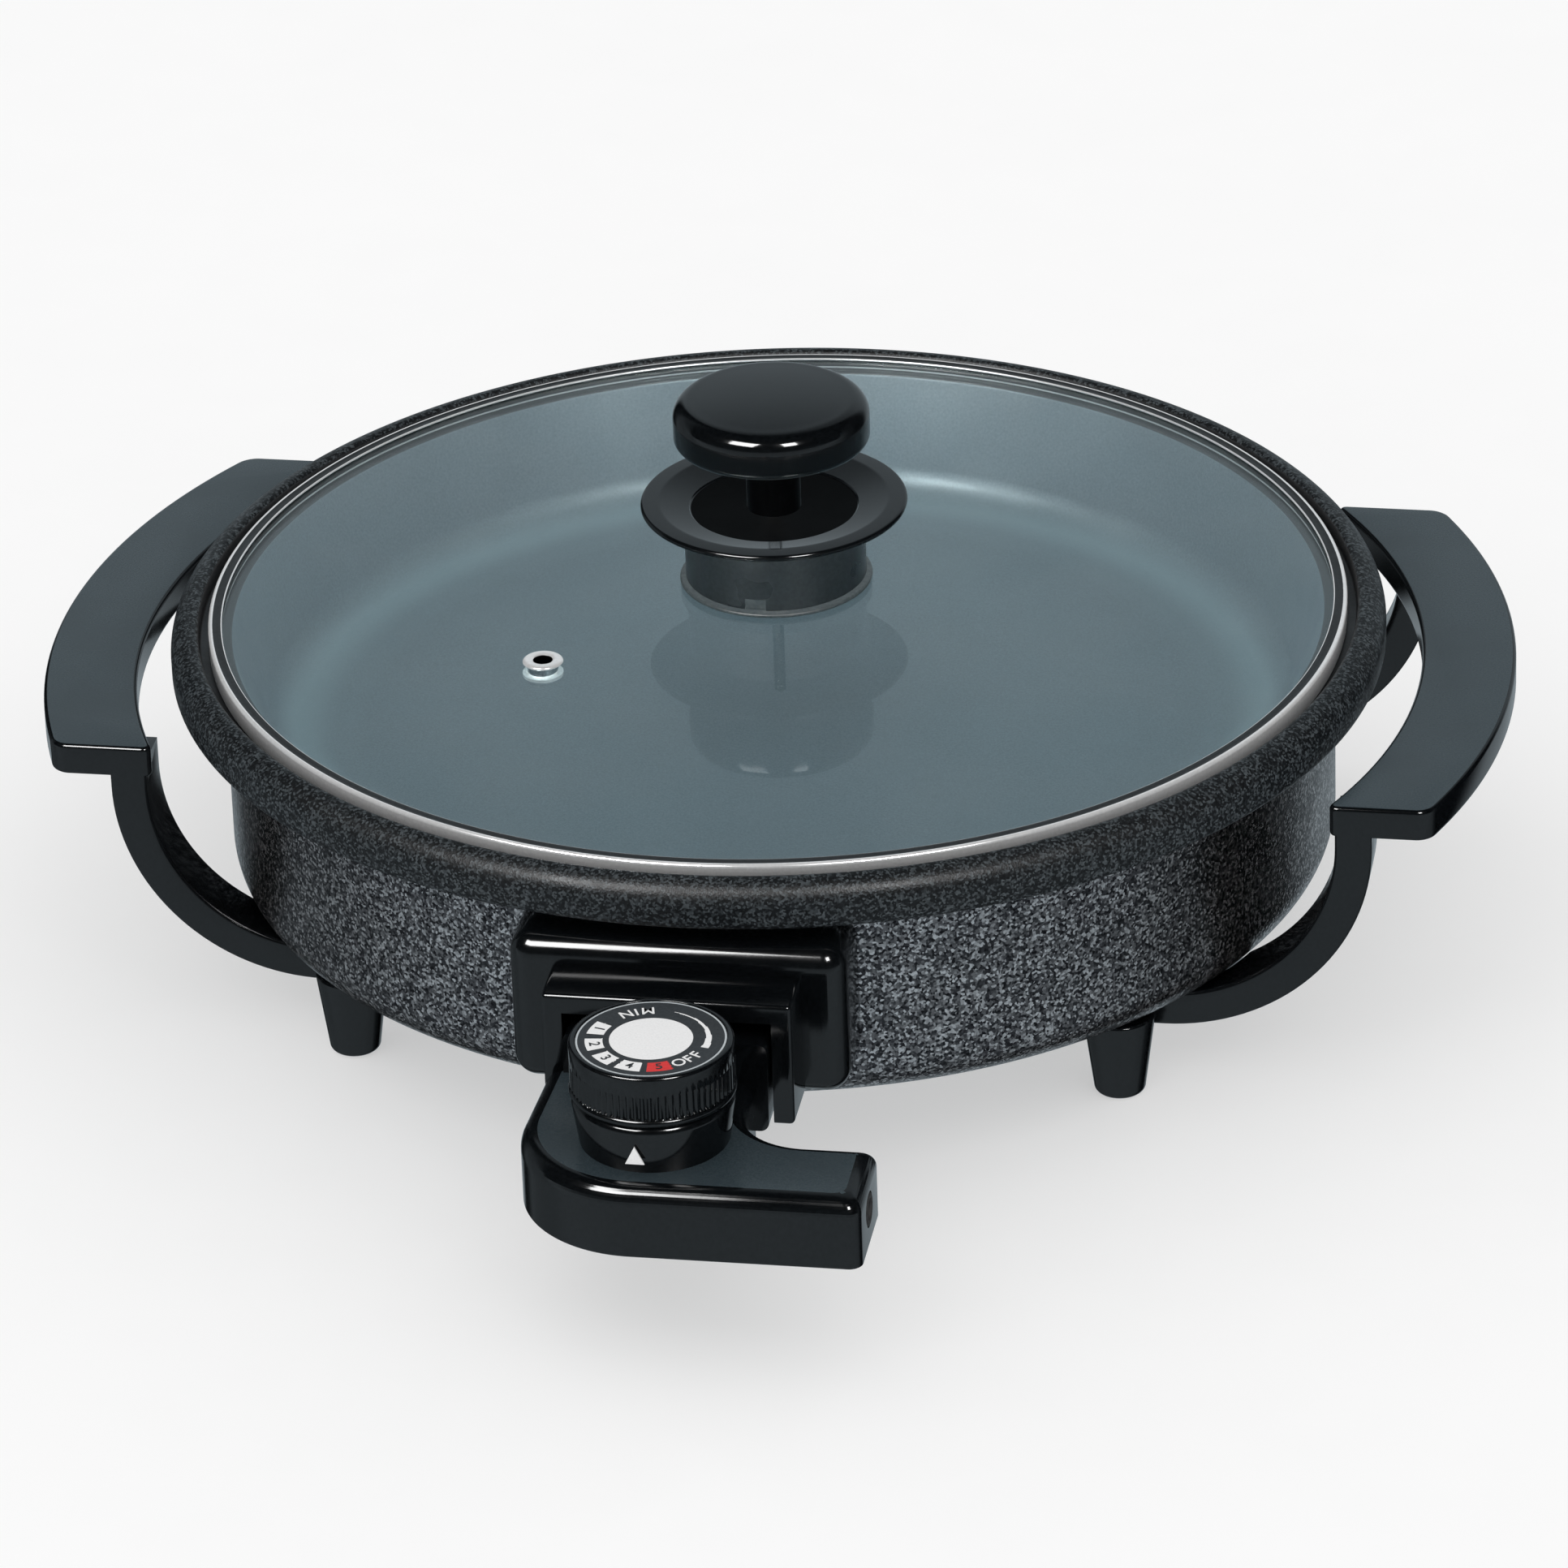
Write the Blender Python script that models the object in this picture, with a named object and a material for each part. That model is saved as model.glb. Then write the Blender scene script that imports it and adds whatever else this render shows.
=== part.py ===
"""Round electric pan ("griddle") with a glass lid and a plug-in thermostat.

Metres, +Z up. The object stands on its four feet at z = 0, and the world origin is the centre of its
footprint. The pan's own axis is upright and lies at PAN_Y. The handles are on +X and -X, and the
thermostat plugs in from -Y.
"""
import math

import bmesh
import bpy
from mathutils import Matrix, Vector

# Driving dimensions of the cast pan
WALL_RADIUS = 0.185
WALL_THICK = 0.004
RIM_ROUND = 0.008
RIM_OVERHANG = 0.017
RIM_RISE = 0.0065
RIM_DEPTH = 0.016
BASE_HEIGHT = 0.029
BASE_ROUND = 0.016
BASE_LIP = 0.029
FLOOR_TOP = 0.074
FLOOR_THICK = 0.005
PAN_DEPTH = 0.0385
COVE_ROUND = 0.012
COOKING_LEAN = 0.009
LUG_BOSS_RADIUS = 0.007
FOOT_BOSS_RADIUS = 0.008
COVER_BOSS_RADIUS = 0.006
RING_STEPS = 48
ROUND_STEPS = 32
SMALL_STEPS = 12
SCREW_STEPS = 8

# Glass lid and its knob
LID_GAP = 0.0048
BAND_DEPTH = 0.0046
BAND_SHEET = 0.0008
GLASS_THICK = 0.005
GLASS_RISE = 0.008
DOME_INSET = 0.001
VENT_REACH = 0.094
VENT_ANGLE = math.radians(-135.0)
VENT_RADIUS = 0.0067
VENT_HOLE = 0.003
VENT_LIP = 0.0012
VENT_EDGE = 0.0008
KNOB_HOLE = 0.0035
GASKET_RADIUS = 0.032
GASKET_THICK = 0.0015
BOSS_RADIUS = 0.0300
BOSS_HEIGHT = 0.021
BOSS_WALL = 0.003
GUARD_RADIUS = 0.0442
GUARD_EDGE = 0.006
GUARD_WALL = 0.002
DISH_RADIUS = 0.0273
NECK_RADIUS = 0.009
NECK_HEIGHT = 0.0241
CAP_RADIUS = 0.0325
CAP_HEIGHT = 0.0167
CAP_ROUND = 0.006
CAP_CROWN = 0.0015
WASHER_RADIUS = 0.009
WASHER_THICK = 0.0015

# Handles
FINGER_GAP = 0.012
GRIP_WIDTH = 0.031
GRIP_FRONT = 0.093
GRIP_REAR = 0.127
GRIP_DROP = 0.019
GRIP_THICK = 0.011
GRIP_ROUND = 0.003
ARM_WIDTH = 0.020
ARM_THICK = 0.012
ARM_STRAIGHT = 0.0098
ARM_SET_IN = 0.037
LUG_END = 0.011
LUG_INSET = 0.0215

# Feet
FOOT_INSET = 0.019
FOOT_FRONT_ANGLE = math.radians(40.0)
FOOT_REAR_ANGLE = math.radians(55.5)
FOOT_RADIUS = 0.012
FOOT_TIP = 0.0085
FOOT_ROUND = 0.002

# Connector block on the pan's wall
BLOCK_MARGIN = 0.0142
BLOCK_DROP = 0.005
BLOCK_HEIGHT = 0.050
BLOCK_PROUD = 0.018
BLOCK_ROUND = 0.006
BLOCK_SCREW_INSET = 0.012
HOOD_WALL = 0.0065
HOOD_REACH = 0.018
HOOD_HEADROOM = 0.005
HOOD_ROUND = 0.002
SOCKET_DEPTH = 0.008

# Thermostat
PROBE_RADIUS = 0.004
PROBE_LENGTH = 0.121
PROBE_DROP = 0.012
PROBE_FLANGE = 0.003
PIN_RADIUS = 0.0024
PIN_SPREAD = 0.020
PIN_REACH = 0.019
PIN_TAIL = 0.012
HEAD_HALF_WIDTH = 0.0325
HEAD_BELOW = 0.016
HEAD_ABOVE = 0.015
HEAD_PROUD = 0.0035
HEAD_ROUND = 0.003
CASE_HEIGHT = 0.024
CASE_ABOVE = 0.0013
CASE_WALL = 0.0025
CASE_DEPTH = 0.0705
CASE_NOSE_ROUND = 0.040
CASE_NOSE_LEFT = 0.040
CASE_NECK_LEFT = 0.0385
CASE_END = 0.0725
CASE_END_ROUND = 0.004
CASE_ARM_DEPTH = 0.035
CASE_THROAT = 0.022
CASE_THROAT_X = 0.028
CASE_EDGE_ROUND = 0.0065
CASE_POST_RADIUS = 0.0035
CASE_SCREW_LENGTH = 0.007
COLLAR_HEIGHT = 0.0165
COLLAR_TAPER = 0.002
DIAL_RADIUS = 0.0262
DIAL_HEIGHT = 0.0175
DIAL_WALL = 0.003
DIAL_SHOULDER = 0.0012
DIAL_RIM = 0.0025
DIAL_PLATE = 0.001
DIAL_X = 0.003
DIAL_SET_BACK = 0.036
SPINDLE_RADIUS = 0.003
CONTACT_RADIUS = 0.0036
CONTACT_BORE = 0.0027
CARRIER_MARGIN = 0.003
CARRIER_THICK = 0.008
GLAND_RADIUS = 0.0055
GLAND_BORE = 0.0033
GLAND_LENGTH = 0.0064
SWITCH_RISE = 0.006
SWITCH_SHEET = 0.0012
BLADE_DROP = 0.0035
BLADE_SHEET = 0.0008
POINTER_SIZE = 0.006
POINTER_RISE = 0.0045
POINTER_X = 0.0015
POINTER_THICK = 0.0006

# Heating element and its terminals
ELEMENT_RADIUS = 0.0035
ELEMENT_INSET = 0.080
ELEMENT_BEND = 0.014
BEAD_RADIUS = 0.0062
BEAD_LENGTH = 0.014

# Fasteners
SCREW_RADIUS = 0.002
SCREW_HEAD_RADIUS = 0.004
SCREW_HEAD_THICK = 0.0024
SCREW_GRIP = 0.012
SMALL_SCREW = 0.62
COVER_SHEET = 0.0012
COVER_SCREW_INSET = 0.060
COVER_SCREW_GRIP = 0.008

# Clearances, and how far a helper shape reaches past the face that it cuts or joins
GAP = 0.0003
SLIDE_GAP = 0.0008
PAST = 0.001

# Places worked out from the driving dimensions
RIM_RADIUS = WALL_RADIUS + RIM_OVERHANG
INNER_RADIUS = WALL_RADIUS - WALL_THICK
SEAT_HEIGHT = FLOOR_TOP + PAN_DEPTH
RIM_TOP = SEAT_HEIGHT + RIM_RISE
RIM_BOTTOM = RIM_TOP - RIM_DEPTH
UNDER_FLOOR = FLOOR_TOP - FLOOR_THICK
COVER_RADIUS = WALL_RADIUS - BASE_LIP - GAP
COVER_SCREW_REACH = WALL_RADIUS - COVER_SCREW_INSET
FOOT_CIRCLE = WALL_RADIUS - FOOT_INSET
LUG_CIRCLE = WALL_RADIUS - LUG_INSET
ELEMENT_LOOP = WALL_RADIUS - ELEMENT_INSET
TERMINAL_Y = PIN_TAIL - INNER_RADIUS
BAND_RADIUS = RIM_RADIUS - RIM_ROUND - LID_GAP
BAND_TOP = SEAT_HEIGHT + GLASS_THICK + 2.0 * BAND_SHEET + 3.0 * GAP
GLASS_TOP = BAND_TOP - BAND_SHEET - GAP
KNOB_BASE = GLASS_TOP + GLASS_RISE
DOME_RADIUS = BAND_RADIUS - BAND_DEPTH - DOME_INSET
GRIP_REACH = RIM_RADIUS + FINGER_GAP + GRIP_WIDTH
GRIP_TOP = RIM_TOP - GRIP_DROP
LUG_TOP = BASE_HEIGHT - GAP
ARM_TOP = GRIP_TOP - GRIP_THICK / 2.0
ARM_BEND = ARM_TOP - LUG_TOP + ARM_THICK - ARM_STRAIGHT
ARM_CENTRE_X = GRIP_REACH - ARM_SET_IN - ARM_BEND
ARM_CENTRE_Z = LUG_TOP - ARM_THICK + ARM_BEND
HOOD_HALF_WIDTH = HEAD_HALF_WIDTH + SLIDE_GAP + HOOD_WALL
BLOCK_HALF_WIDTH = HOOD_HALF_WIDTH + BLOCK_MARGIN
BLOCK_TOP = RIM_BOTTOM - BLOCK_DROP
BLOCK_BOTTOM = BLOCK_TOP - BLOCK_HEIGHT
BLOCK_FRONT = -(WALL_RADIUS + BLOCK_PROUD)
HOOD_FRONT = BLOCK_FRONT - HOOD_REACH
HEAD_FRONT = HOOD_FRONT - HEAD_PROUD
HEAD_BACK = BLOCK_FRONT + SOCKET_DEPTH - SLIDE_GAP
AXIS_HEIGHT = FLOOR_TOP - PROBE_DROP
HEAD_BOTTOM = AXIS_HEIGHT - HEAD_BELOW
HEAD_TOP = AXIS_HEIGHT + HEAD_ABOVE
CASE_TOP = AXIS_HEIGHT + CASE_ABOVE
CASE_BOTTOM = CASE_TOP - CASE_HEIGHT
CASE_FRONT = HEAD_FRONT - CASE_DEPTH
CASE_ROOF = CASE_TOP - CASE_EDGE_ROUND / 2.0
PAN_Y = (-CASE_FRONT - RIM_RADIUS) / 2.0
DIAL_Y = HEAD_FRONT - DIAL_SET_BACK
DIAL_BOTTOM = CASE_TOP + COLLAR_HEIGHT + GAP
DIAL_FACE_RADIUS = DIAL_RADIUS - DIAL_RIM
COLLAR_RADIUS = DIAL_RADIUS - 2.0 * GAP
COLLAR_FOOT_RADIUS = COLLAR_RADIUS - COLLAR_TAPER


def clear_scene():
    """Remove every object, so the script can be run again from the text editor."""
    for item in list(bpy.data.objects):
        bpy.data.objects.remove(item, do_unlink=True)


def material(name, colour, roughness, metallic=0.0, transmission=0.0):
    """A plain Principled material with the piece's colour and finish."""
    made = bpy.data.materials.new(name)
    made.use_nodes = True
    shader = made.node_tree.nodes["Principled BSDF"]
    shader.inputs["Base Color"].default_value = (*colour, 1.0)
    shader.inputs["Roughness"].default_value = roughness
    shader.inputs["Metallic"].default_value = metallic
    shader.inputs["Transmission Weight"].default_value = transmission
    return made


def add_object(name, mesh_builder, paint):
    """Turn a finished bmesh, modelled about the pan's axis, into a named object."""
    bmesh.ops.recalc_face_normals(mesh_builder, faces=mesh_builder.faces[:])
    mesh = bpy.data.meshes.new(name)
    mesh_builder.to_mesh(mesh)
    mesh_builder.free()
    mesh.materials.append(paint)
    mesh.shade_smooth()
    mesh.set_sharp_from_angle(angle=math.radians(35.0))
    item = bpy.data.objects.new(name, mesh)
    item.location = (0.0, PAN_Y, 0.0)
    bpy.context.scene.collection.objects.link(item)
    return item


def arc(centre, radius, start, end, steps):
    """Points on an arc in a plane, both ends included; the angles are in degrees."""
    points = []
    for step in range(steps + 1):
        angle = math.radians(start + (end - start) * step / steps)
        points.append((centre[0] + radius * math.cos(angle), centre[1] + radius * math.sin(angle)))
    return points


def turned(profile, steps, centre=(0.0, 0.0)):
    """Spin a (radius, height) profile about an upright axis.

    A profile that begins and ends on the axis makes a solid, and any other profile makes a ring.
    """
    made = bmesh.new()
    verts = [made.verts.new((centre[0] + radius, centre[1], height)) for radius, height in profile]
    pairs = list(zip(verts, verts[1:]))
    if profile[0][0] > 0.0:
        pairs.append((verts[-1], verts[0]))
    edges = [made.edges.new(pair) for pair in pairs]
    bmesh.ops.spin(made, geom=verts + edges, cent=(*centre, 0.0), axis=(0.0, 0.0, 1.0),
                   angle=math.tau, steps=steps, use_merge=True)
    bmesh.ops.remove_doubles(made, verts=made.verts[:], dist=1e-6)
    return made


def prism(outline, low, high):
    """Extrude an (x, y) outline from one height to another."""
    made = bmesh.new()
    face = made.faces.new([made.verts.new((x, y, low)) for x, y in outline])
    grown = bmesh.ops.extrude_face_region(made, geom=[face])
    top = [part for part in grown["geom"] if isinstance(part, bmesh.types.BMVert)]
    bmesh.ops.translate(made, verts=top, vec=(0.0, 0.0, high - low))
    return made


def block(low, high):
    """A rectangular block between two corners."""
    made = bmesh.new()
    size = Vector(high) - Vector(low)
    bmesh.ops.create_cube(made, size=1.0)
    bmesh.ops.scale(made, vec=size, verts=made.verts[:])
    bmesh.ops.translate(made, vec=(Vector(low) + Vector(high)) / 2.0, verts=made.verts[:])
    return made


def round_edges(made, width, steps, chosen):
    """Round the edges that the given test picks."""
    edges = [edge for edge in made.edges if chosen(edge)]
    bmesh.ops.bevel(made, geom=edges, offset=width, offset_type="OFFSET", segments=steps, profile=0.5,
                    affect="EDGES", clamp_overlap=True, material=-1)
    return made


def rotated(made, angle, axis):
    """Turn a shape about one of the world axes."""
    turn = Matrix.Rotation(angle, 3, axis)
    bmesh.ops.rotate(made, verts=made.verts[:], cent=(0.0, 0.0, 0.0), matrix=turn)
    return made


def lay_along_y(made):
    """Lay an upright turned piece down, so that its top points to -Y."""
    return rotated(made, math.pi / 2, "X")


def moved(made, x=0.0, y=0.0, z=0.0):
    """Shift a shape."""
    bmesh.ops.translate(made, verts=made.verts[:], vec=(x, y, z))
    return made


def rod(radius, low, high, steps, centre=(0.0, 0.0)):
    """An upright round bar."""
    return turned([(0.0, low), (radius, low), (radius, high), (0.0, high)], steps, centre)


def rod_along_y(radius, back, front, x, z, steps):
    """A round bar along Y, from its back end (larger y) to its front end."""
    return moved(lay_along_y(rod(radius, -back, -front, steps)), x=x, z=z)


def merged(shapes):
    """Put several separate shapes into one bmesh, for use as a cutter."""
    whole = bmesh.new()
    for shape in shapes:
        scratch = bpy.data.meshes.new("shape")
        bmesh.ops.recalc_face_normals(shape, faces=shape.faces[:])
        shape.to_mesh(scratch)
        shape.free()
        whole.from_mesh(scratch)
        bpy.data.meshes.remove(scratch)
    return whole


def combine(target, name, shape, operation):
    """Cut a shape from a piece, or join it on, with a Boolean that stays on the piece."""
    helper = add_object(name, shape, target.data.materials[0])
    helper.hide_render = True
    helper.display_type = "WIRE"
    step = target.modifiers.new(name, "BOOLEAN")
    step.operation = operation
    step.solver = "EXACT"
    step.object = helper
    return target


def cut(target, name, shapes):
    """Cut shapes that don't touch each other from a piece."""
    return combine(target, name, merged(shapes), "DIFFERENCE")


def join(target, name, shapes):
    """Join shapes that don't touch each other onto a piece."""
    return combine(target, name, merged(shapes), "UNION")


def parent_to(pieces, name, x, y, z):
    """Hang the pieces of one moving body on an empty that lies on the body's joint axis."""
    empty = bpy.data.objects.new(name, None)
    empty.location = (x, PAN_Y + y, z)
    bpy.context.scene.collection.objects.link(empty)
    for piece in pieces:
        piece.parent = empty
        piece.matrix_parent_inverse = Matrix.Translation(-Vector(empty.location))
    return empty


def foot_places():
    """Name and centre of each foot, on one circle round the pan's axis."""
    places = []
    for end, angle, way in (("front", FOOT_FRONT_ANGLE, -1.0), ("rear", FOOT_REAR_ANGLE, 1.0)):
        x = FOOT_CIRCLE * math.cos(angle)
        y = way * FOOT_CIRCLE * math.sin(angle)
        places += [(end + "_left", -x, y), (end + "_right", x, y)]
    return places


def lug_x(y):
    """How far out a handle screw sits, for its place along Y."""
    return math.sqrt(LUG_CIRCLE ** 2 - y ** 2)


def lug_places():
    """Name and centre of each handle screw, in the middle of its arm's width."""
    half = ARM_WIDTH / 2.0
    places = []
    for end, y in (("front", half - GRIP_FRONT), ("rear", GRIP_REAR - half)):
        places += [(end + "_left", -lug_x(y), y), (end + "_right", lug_x(y), y)]
    return places


def screw(name, x, y, seat, length, paint, scale=1.0):
    """A pan-head screw driven upward from below, its head's upper face at the seat."""
    head = SCREW_HEAD_RADIUS * scale
    thick = SCREW_HEAD_THICK * scale
    shank = SCREW_RADIUS * scale
    slot = head / 2.0
    profile = [
        (0.0, seat - thick / 2.0),
        (slot, seat - thick / 2.0),
        (slot, seat - thick),
        (head, seat - thick),
        (head, seat),
        (shank, seat),
        (shank, seat + length),
        (0.0, seat + length + shank),
    ]
    return add_object(name, turned(profile, SCREW_STEPS, (x, y)), paint)


def screw_hole(x, y, seat, length, scale=1.0):
    """The clearance hole for a screw's shank, which is deeper than the screw."""
    radius = SCREW_RADIUS * scale
    return rod(radius + GAP, seat - PAST, seat + length + 3.0 * radius, SCREW_STEPS, (x, y))


# The cast pan --------------------------------------------------------------------------------------

def pan_profile():
    """Section of the casting: cooking floor, leaning wall, lid seat, rim, outer skirt and base lip."""
    wall_foot = INNER_RADIUS - COOKING_LEAN
    cove_centre = (wall_foot - COVE_ROUND, FLOOR_TOP + COVE_ROUND)
    rim_centre = (RIM_RADIUS - RIM_ROUND, RIM_TOP - RIM_ROUND)
    base_centre = (WALL_RADIUS - BASE_ROUND, BASE_HEIGHT + BASE_ROUND)
    seat_edge = BAND_RADIUS + LID_GAP * 0.7
    profile = [(0.0, FLOOR_TOP)]
    profile += arc(cove_centre, COVE_ROUND, -90.0, -10.0, 4)
    profile += [(INNER_RADIUS, SEAT_HEIGHT), (seat_edge, SEAT_HEIGHT)]
    profile += arc(rim_centre, RIM_ROUND, 90.0, 0.0, 4)
    profile += [(RIM_RADIUS, RIM_BOTTOM), (WALL_RADIUS, RIM_BOTTOM - PAST)]
    profile += arc(base_centre, BASE_ROUND, 0.0, -90.0, 4)
    profile += [(COVER_RADIUS + GAP, BASE_HEIGHT), (COVER_RADIUS + GAP, BASE_HEIGHT + WALL_THICK)]
    profile += arc(base_centre, BASE_ROUND - WALL_THICK, -90.0, 0.0, 3)
    profile += [(INNER_RADIUS, RIM_BOTTOM - WALL_THICK)]
    profile += [(wall_foot + WALL_THICK / 2.0, UNDER_FLOOR + COVE_ROUND)]
    profile += [(wall_foot - COVE_ROUND, UNDER_FLOOR), (0.0, UNDER_FLOOR)]
    return profile


def cover_screw_places():
    """Three cover screws, spread evenly, with one at the rear."""
    places = []
    for number in range(3):
        angle = math.radians(90.0 + 120.0 * number)
        reach = COVER_SCREW_REACH
        places.append((str(number + 1), reach * math.cos(angle), reach * math.sin(angle)))
    return places


def pan_bosses():
    """Screw bosses under the floor: some rise from the casting's lip, the rest from the cover."""
    high = UNDER_FLOOR + PAST
    on_lip = BASE_HEIGHT + WALL_THICK / 2.0
    on_cover = BASE_HEIGHT + COVER_SHEET + GAP
    bosses = [rod(LUG_BOSS_RADIUS, on_lip, high, SCREW_STEPS, (x, y)) for _, x, y in lug_places()]
    bosses += [rod(FOOT_BOSS_RADIUS, on_lip, high, SCREW_STEPS, (x, y)) for _, x, y in foot_places()]
    for _, x, y in cover_screw_places():
        bosses.append(rod(COVER_BOSS_RADIUS, on_cover, high, SCREW_STEPS, (x, y)))
    return bosses


def probe_rib():
    """The rib cast under the floor, which the probe slides into."""
    half = PROBE_RADIUS + WALL_THICK
    back = HEAD_BACK + PROBE_LENGTH + half
    return block((-half, -INNER_RADIUS - PAST, AXIS_HEIGHT - half), (half, back, UNDER_FLOOR + PAST))


def wall_holes():
    """Holes through the front wall for the probe, the terminal beads and the block screws."""
    front = -WALL_RADIUS - 2.0 * PAST
    behind = -math.sqrt(INNER_RADIUS ** 2 - BLOCK_HALF_WIDTH ** 2) + PAST
    probe_end = HEAD_BACK + PROBE_LENGTH + PROBE_RADIUS / 2.0
    holes = [rod_along_y(PROBE_RADIUS + SLIDE_GAP, probe_end, front, 0.0, AXIS_HEIGHT, SMALL_STEPS)]
    for side in (-1.0, 1.0):
        x, z = block_screw_place(side)
        pin_x = side * PIN_SPREAD
        holes.append(rod_along_y(BEAD_RADIUS + GAP, behind, front, pin_x, AXIS_HEIGHT, SMALL_STEPS))
        holes.append(rod_along_y(SCREW_RADIUS + GAP, behind, front, x, z, SCREW_STEPS))
    return holes


def make_pan_body(paint):
    """The cast pan with its bosses, the probe's rib and every hole in it."""
    pan = add_object("pan_body", turned(pan_profile(), RING_STEPS), paint)
    join(pan, "pan_bosses", pan_bosses() + [probe_rib()])
    deep = [(x, y) for _, x, y in lug_places() + foot_places()]
    holes = [screw_hole(x, y, BASE_HEIGHT, SCREW_GRIP) for x, y in deep]
    holes += [screw_hole(x, y, BASE_HEIGHT, COVER_SCREW_GRIP) for _, x, y in cover_screw_places()]
    return cut(pan, "pan_holes", holes + wall_holes())


def make_bottom_cover(paint):
    """The sheet that closes the underside, inside the casting's lip."""
    sheet = rod(COVER_RADIUS, BASE_HEIGHT, BASE_HEIGHT + COVER_SHEET, RING_STEPS)
    cover = add_object("bottom_cover", sheet, paint)
    places = [(x, y) for _, x, y in cover_screw_places()]
    holes = [rod(SCREW_RADIUS + GAP, 0.0, FLOOR_TOP, SCREW_STEPS, place) for place in places]
    return cut(cover, "cover_holes", holes)


# Heating element and terminals ---------------------------------------------------------------------

def element_path():
    """Centre line of the tube: a round loop whose two ends turn forward to the terminals."""
    loop = ELEMENT_LOOP
    turn_x = PIN_SPREAD + ELEMENT_BEND
    turn_y = -math.sqrt((loop + ELEMENT_BEND) ** 2 - turn_x ** 2)
    meet = math.degrees(math.atan2(turn_y, turn_x))
    half = [(PIN_SPREAD, TERMINAL_Y)]
    half += arc((turn_x, turn_y), ELEMENT_BEND, 180.0, meet + 180.0, 4)
    around = arc((0.0, 0.0), loop, meet, meet + 360.0 - 2.0 * (90.0 + meet), 32)
    other = [(-x, y) for x, y in reversed(half)]
    return half + around[1:-1] + other


def make_element(paint):
    """The tubular element, swept along its path under the cooking floor."""
    curve = bpy.data.curves.new("heating_element", "CURVE")
    curve.dimensions = "3D"
    curve.bevel_depth = ELEMENT_RADIUS
    curve.bevel_resolution = 1
    curve.use_fill_caps = True
    height = UNDER_FLOOR - ELEMENT_RADIUS - GAP
    points = element_path()
    run = curve.splines.new("POLY")
    run.points.add(len(points) - 1)
    for point, (x, y) in zip(run.points, points):
        point.co = (x, y, height, 1.0)
    item = bpy.data.objects.new("heating_element", curve)
    item.location = (0.0, PAN_Y, 0.0)
    curve.materials.append(paint)
    bpy.context.scene.collection.objects.link(item)
    return item


def make_terminals(pin_paint, bead_paint):
    """Two round pins that reach into the socket, each in a ceramic bead."""
    made = []
    for side, name in ((-1.0, "left"), (1.0, "right")):
        x = side * PIN_SPREAD
        front = BLOCK_FRONT + SOCKET_DEPTH - PIN_REACH
        pin = rod_along_y(PIN_RADIUS, TERMINAL_Y - PIN_RADIUS, front, x, AXIS_HEIGHT, SMALL_STEPS)
        made.append(add_object("terminal_pin_" + name, pin, pin_paint))
        back = -WALL_RADIUS + BEAD_LENGTH / 2.0
        sleeve = rod_along_y(BEAD_RADIUS, back, back - BEAD_LENGTH, x, AXIS_HEIGHT, SMALL_STEPS)
        bead = add_object("terminal_bead_" + name, sleeve, bead_paint)
        hole = rod_along_y(PIN_RADIUS + GAP, 0.0, 2.0 * BLOCK_FRONT, x, AXIS_HEIGHT, SMALL_STEPS)
        made.append(cut(bead, "bead_hole_" + name, [hole]))
    return made


# Connector block -----------------------------------------------------------------------------------

def block_screw_place(side):
    """Where one block screw sits on the wall: x and z."""
    return side * (BLOCK_HALF_WIDTH - BLOCK_SCREW_INSET), (BLOCK_TOP + BLOCK_BOTTOM) / 2.0


def make_connector_block(paint):
    """The moulded block on the pan's wall, with a hood over the top and sides of its socket."""
    behind = -math.sqrt(WALL_RADIUS ** 2 - BLOCK_HALF_WIDTH ** 2) + WALL_THICK
    body = block((-BLOCK_HALF_WIDTH, BLOCK_FRONT, BLOCK_BOTTOM), (BLOCK_HALF_WIDTH, behind, BLOCK_TOP))
    round_edges(body, BLOCK_ROUND, 3, lambda edge: min(v.co.y for v in edge.verts) < BLOCK_FRONT + GAP)
    socket = add_object("connector_block", body, paint)
    roof = HEAD_TOP + HOOD_HEADROOM
    hood = block((-HOOD_HALF_WIDTH, HOOD_FRONT, HEAD_BOTTOM),
                 (HOOD_HALF_WIDTH, BLOCK_FRONT + BLOCK_ROUND, roof + HOOD_WALL))
    round_edges(hood, HOOD_ROUND, 2, lambda edge: max(v.co.y for v in edge.verts) < BLOCK_FRONT)
    join(socket, "hood", [hood])
    inside = HEAD_HALF_WIDTH + SLIDE_GAP
    pocket = block((-inside, 2.0 * HOOD_FRONT, 0.0), (inside, BLOCK_FRONT + SOCKET_DEPTH, roof))
    cut(socket, "socket_pocket", [pocket])
    cut(socket, "wall_seat", [rod(WALL_RADIUS + GAP, 0.0, 2.0 * BLOCK_TOP, RING_STEPS)])
    holes = [rod_along_y(PROBE_RADIUS + SLIDE_GAP, 0.0, 2.0 * BLOCK_FRONT, 0.0, AXIS_HEIGHT, SMALL_STEPS)]
    pins = []
    for side in (-1.0, 1.0):
        x, z = block_screw_place(side)
        pin_x = side * PIN_SPREAD
        bead_end = -WALL_RADIUS - BEAD_LENGTH / 2.0 - GAP
        holes.append(rod_along_y(BEAD_RADIUS + GAP, 0.0, bead_end, pin_x, AXIS_HEIGHT, SMALL_STEPS))
        holes.append(rod_along_y(SCREW_RADIUS + GAP, 0.0, block_screw_tip(side) - PAST, x, z, SCREW_STEPS))
        pins.append(rod_along_y(PIN_RADIUS + GAP, 0.0, HOOD_FRONT, pin_x, AXIS_HEIGHT, SMALL_STEPS))
    cut(socket, "block_holes", holes)
    return cut(socket, "pin_holes", pins)


def block_screw_seat(side):
    """Where a block screw's head bears on the inside of the skirt."""
    x, _ = block_screw_place(side)
    return -math.sqrt(INNER_RADIUS ** 2 - (abs(x) + SCREW_HEAD_RADIUS) ** 2) + SCREW_RADIUS


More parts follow.
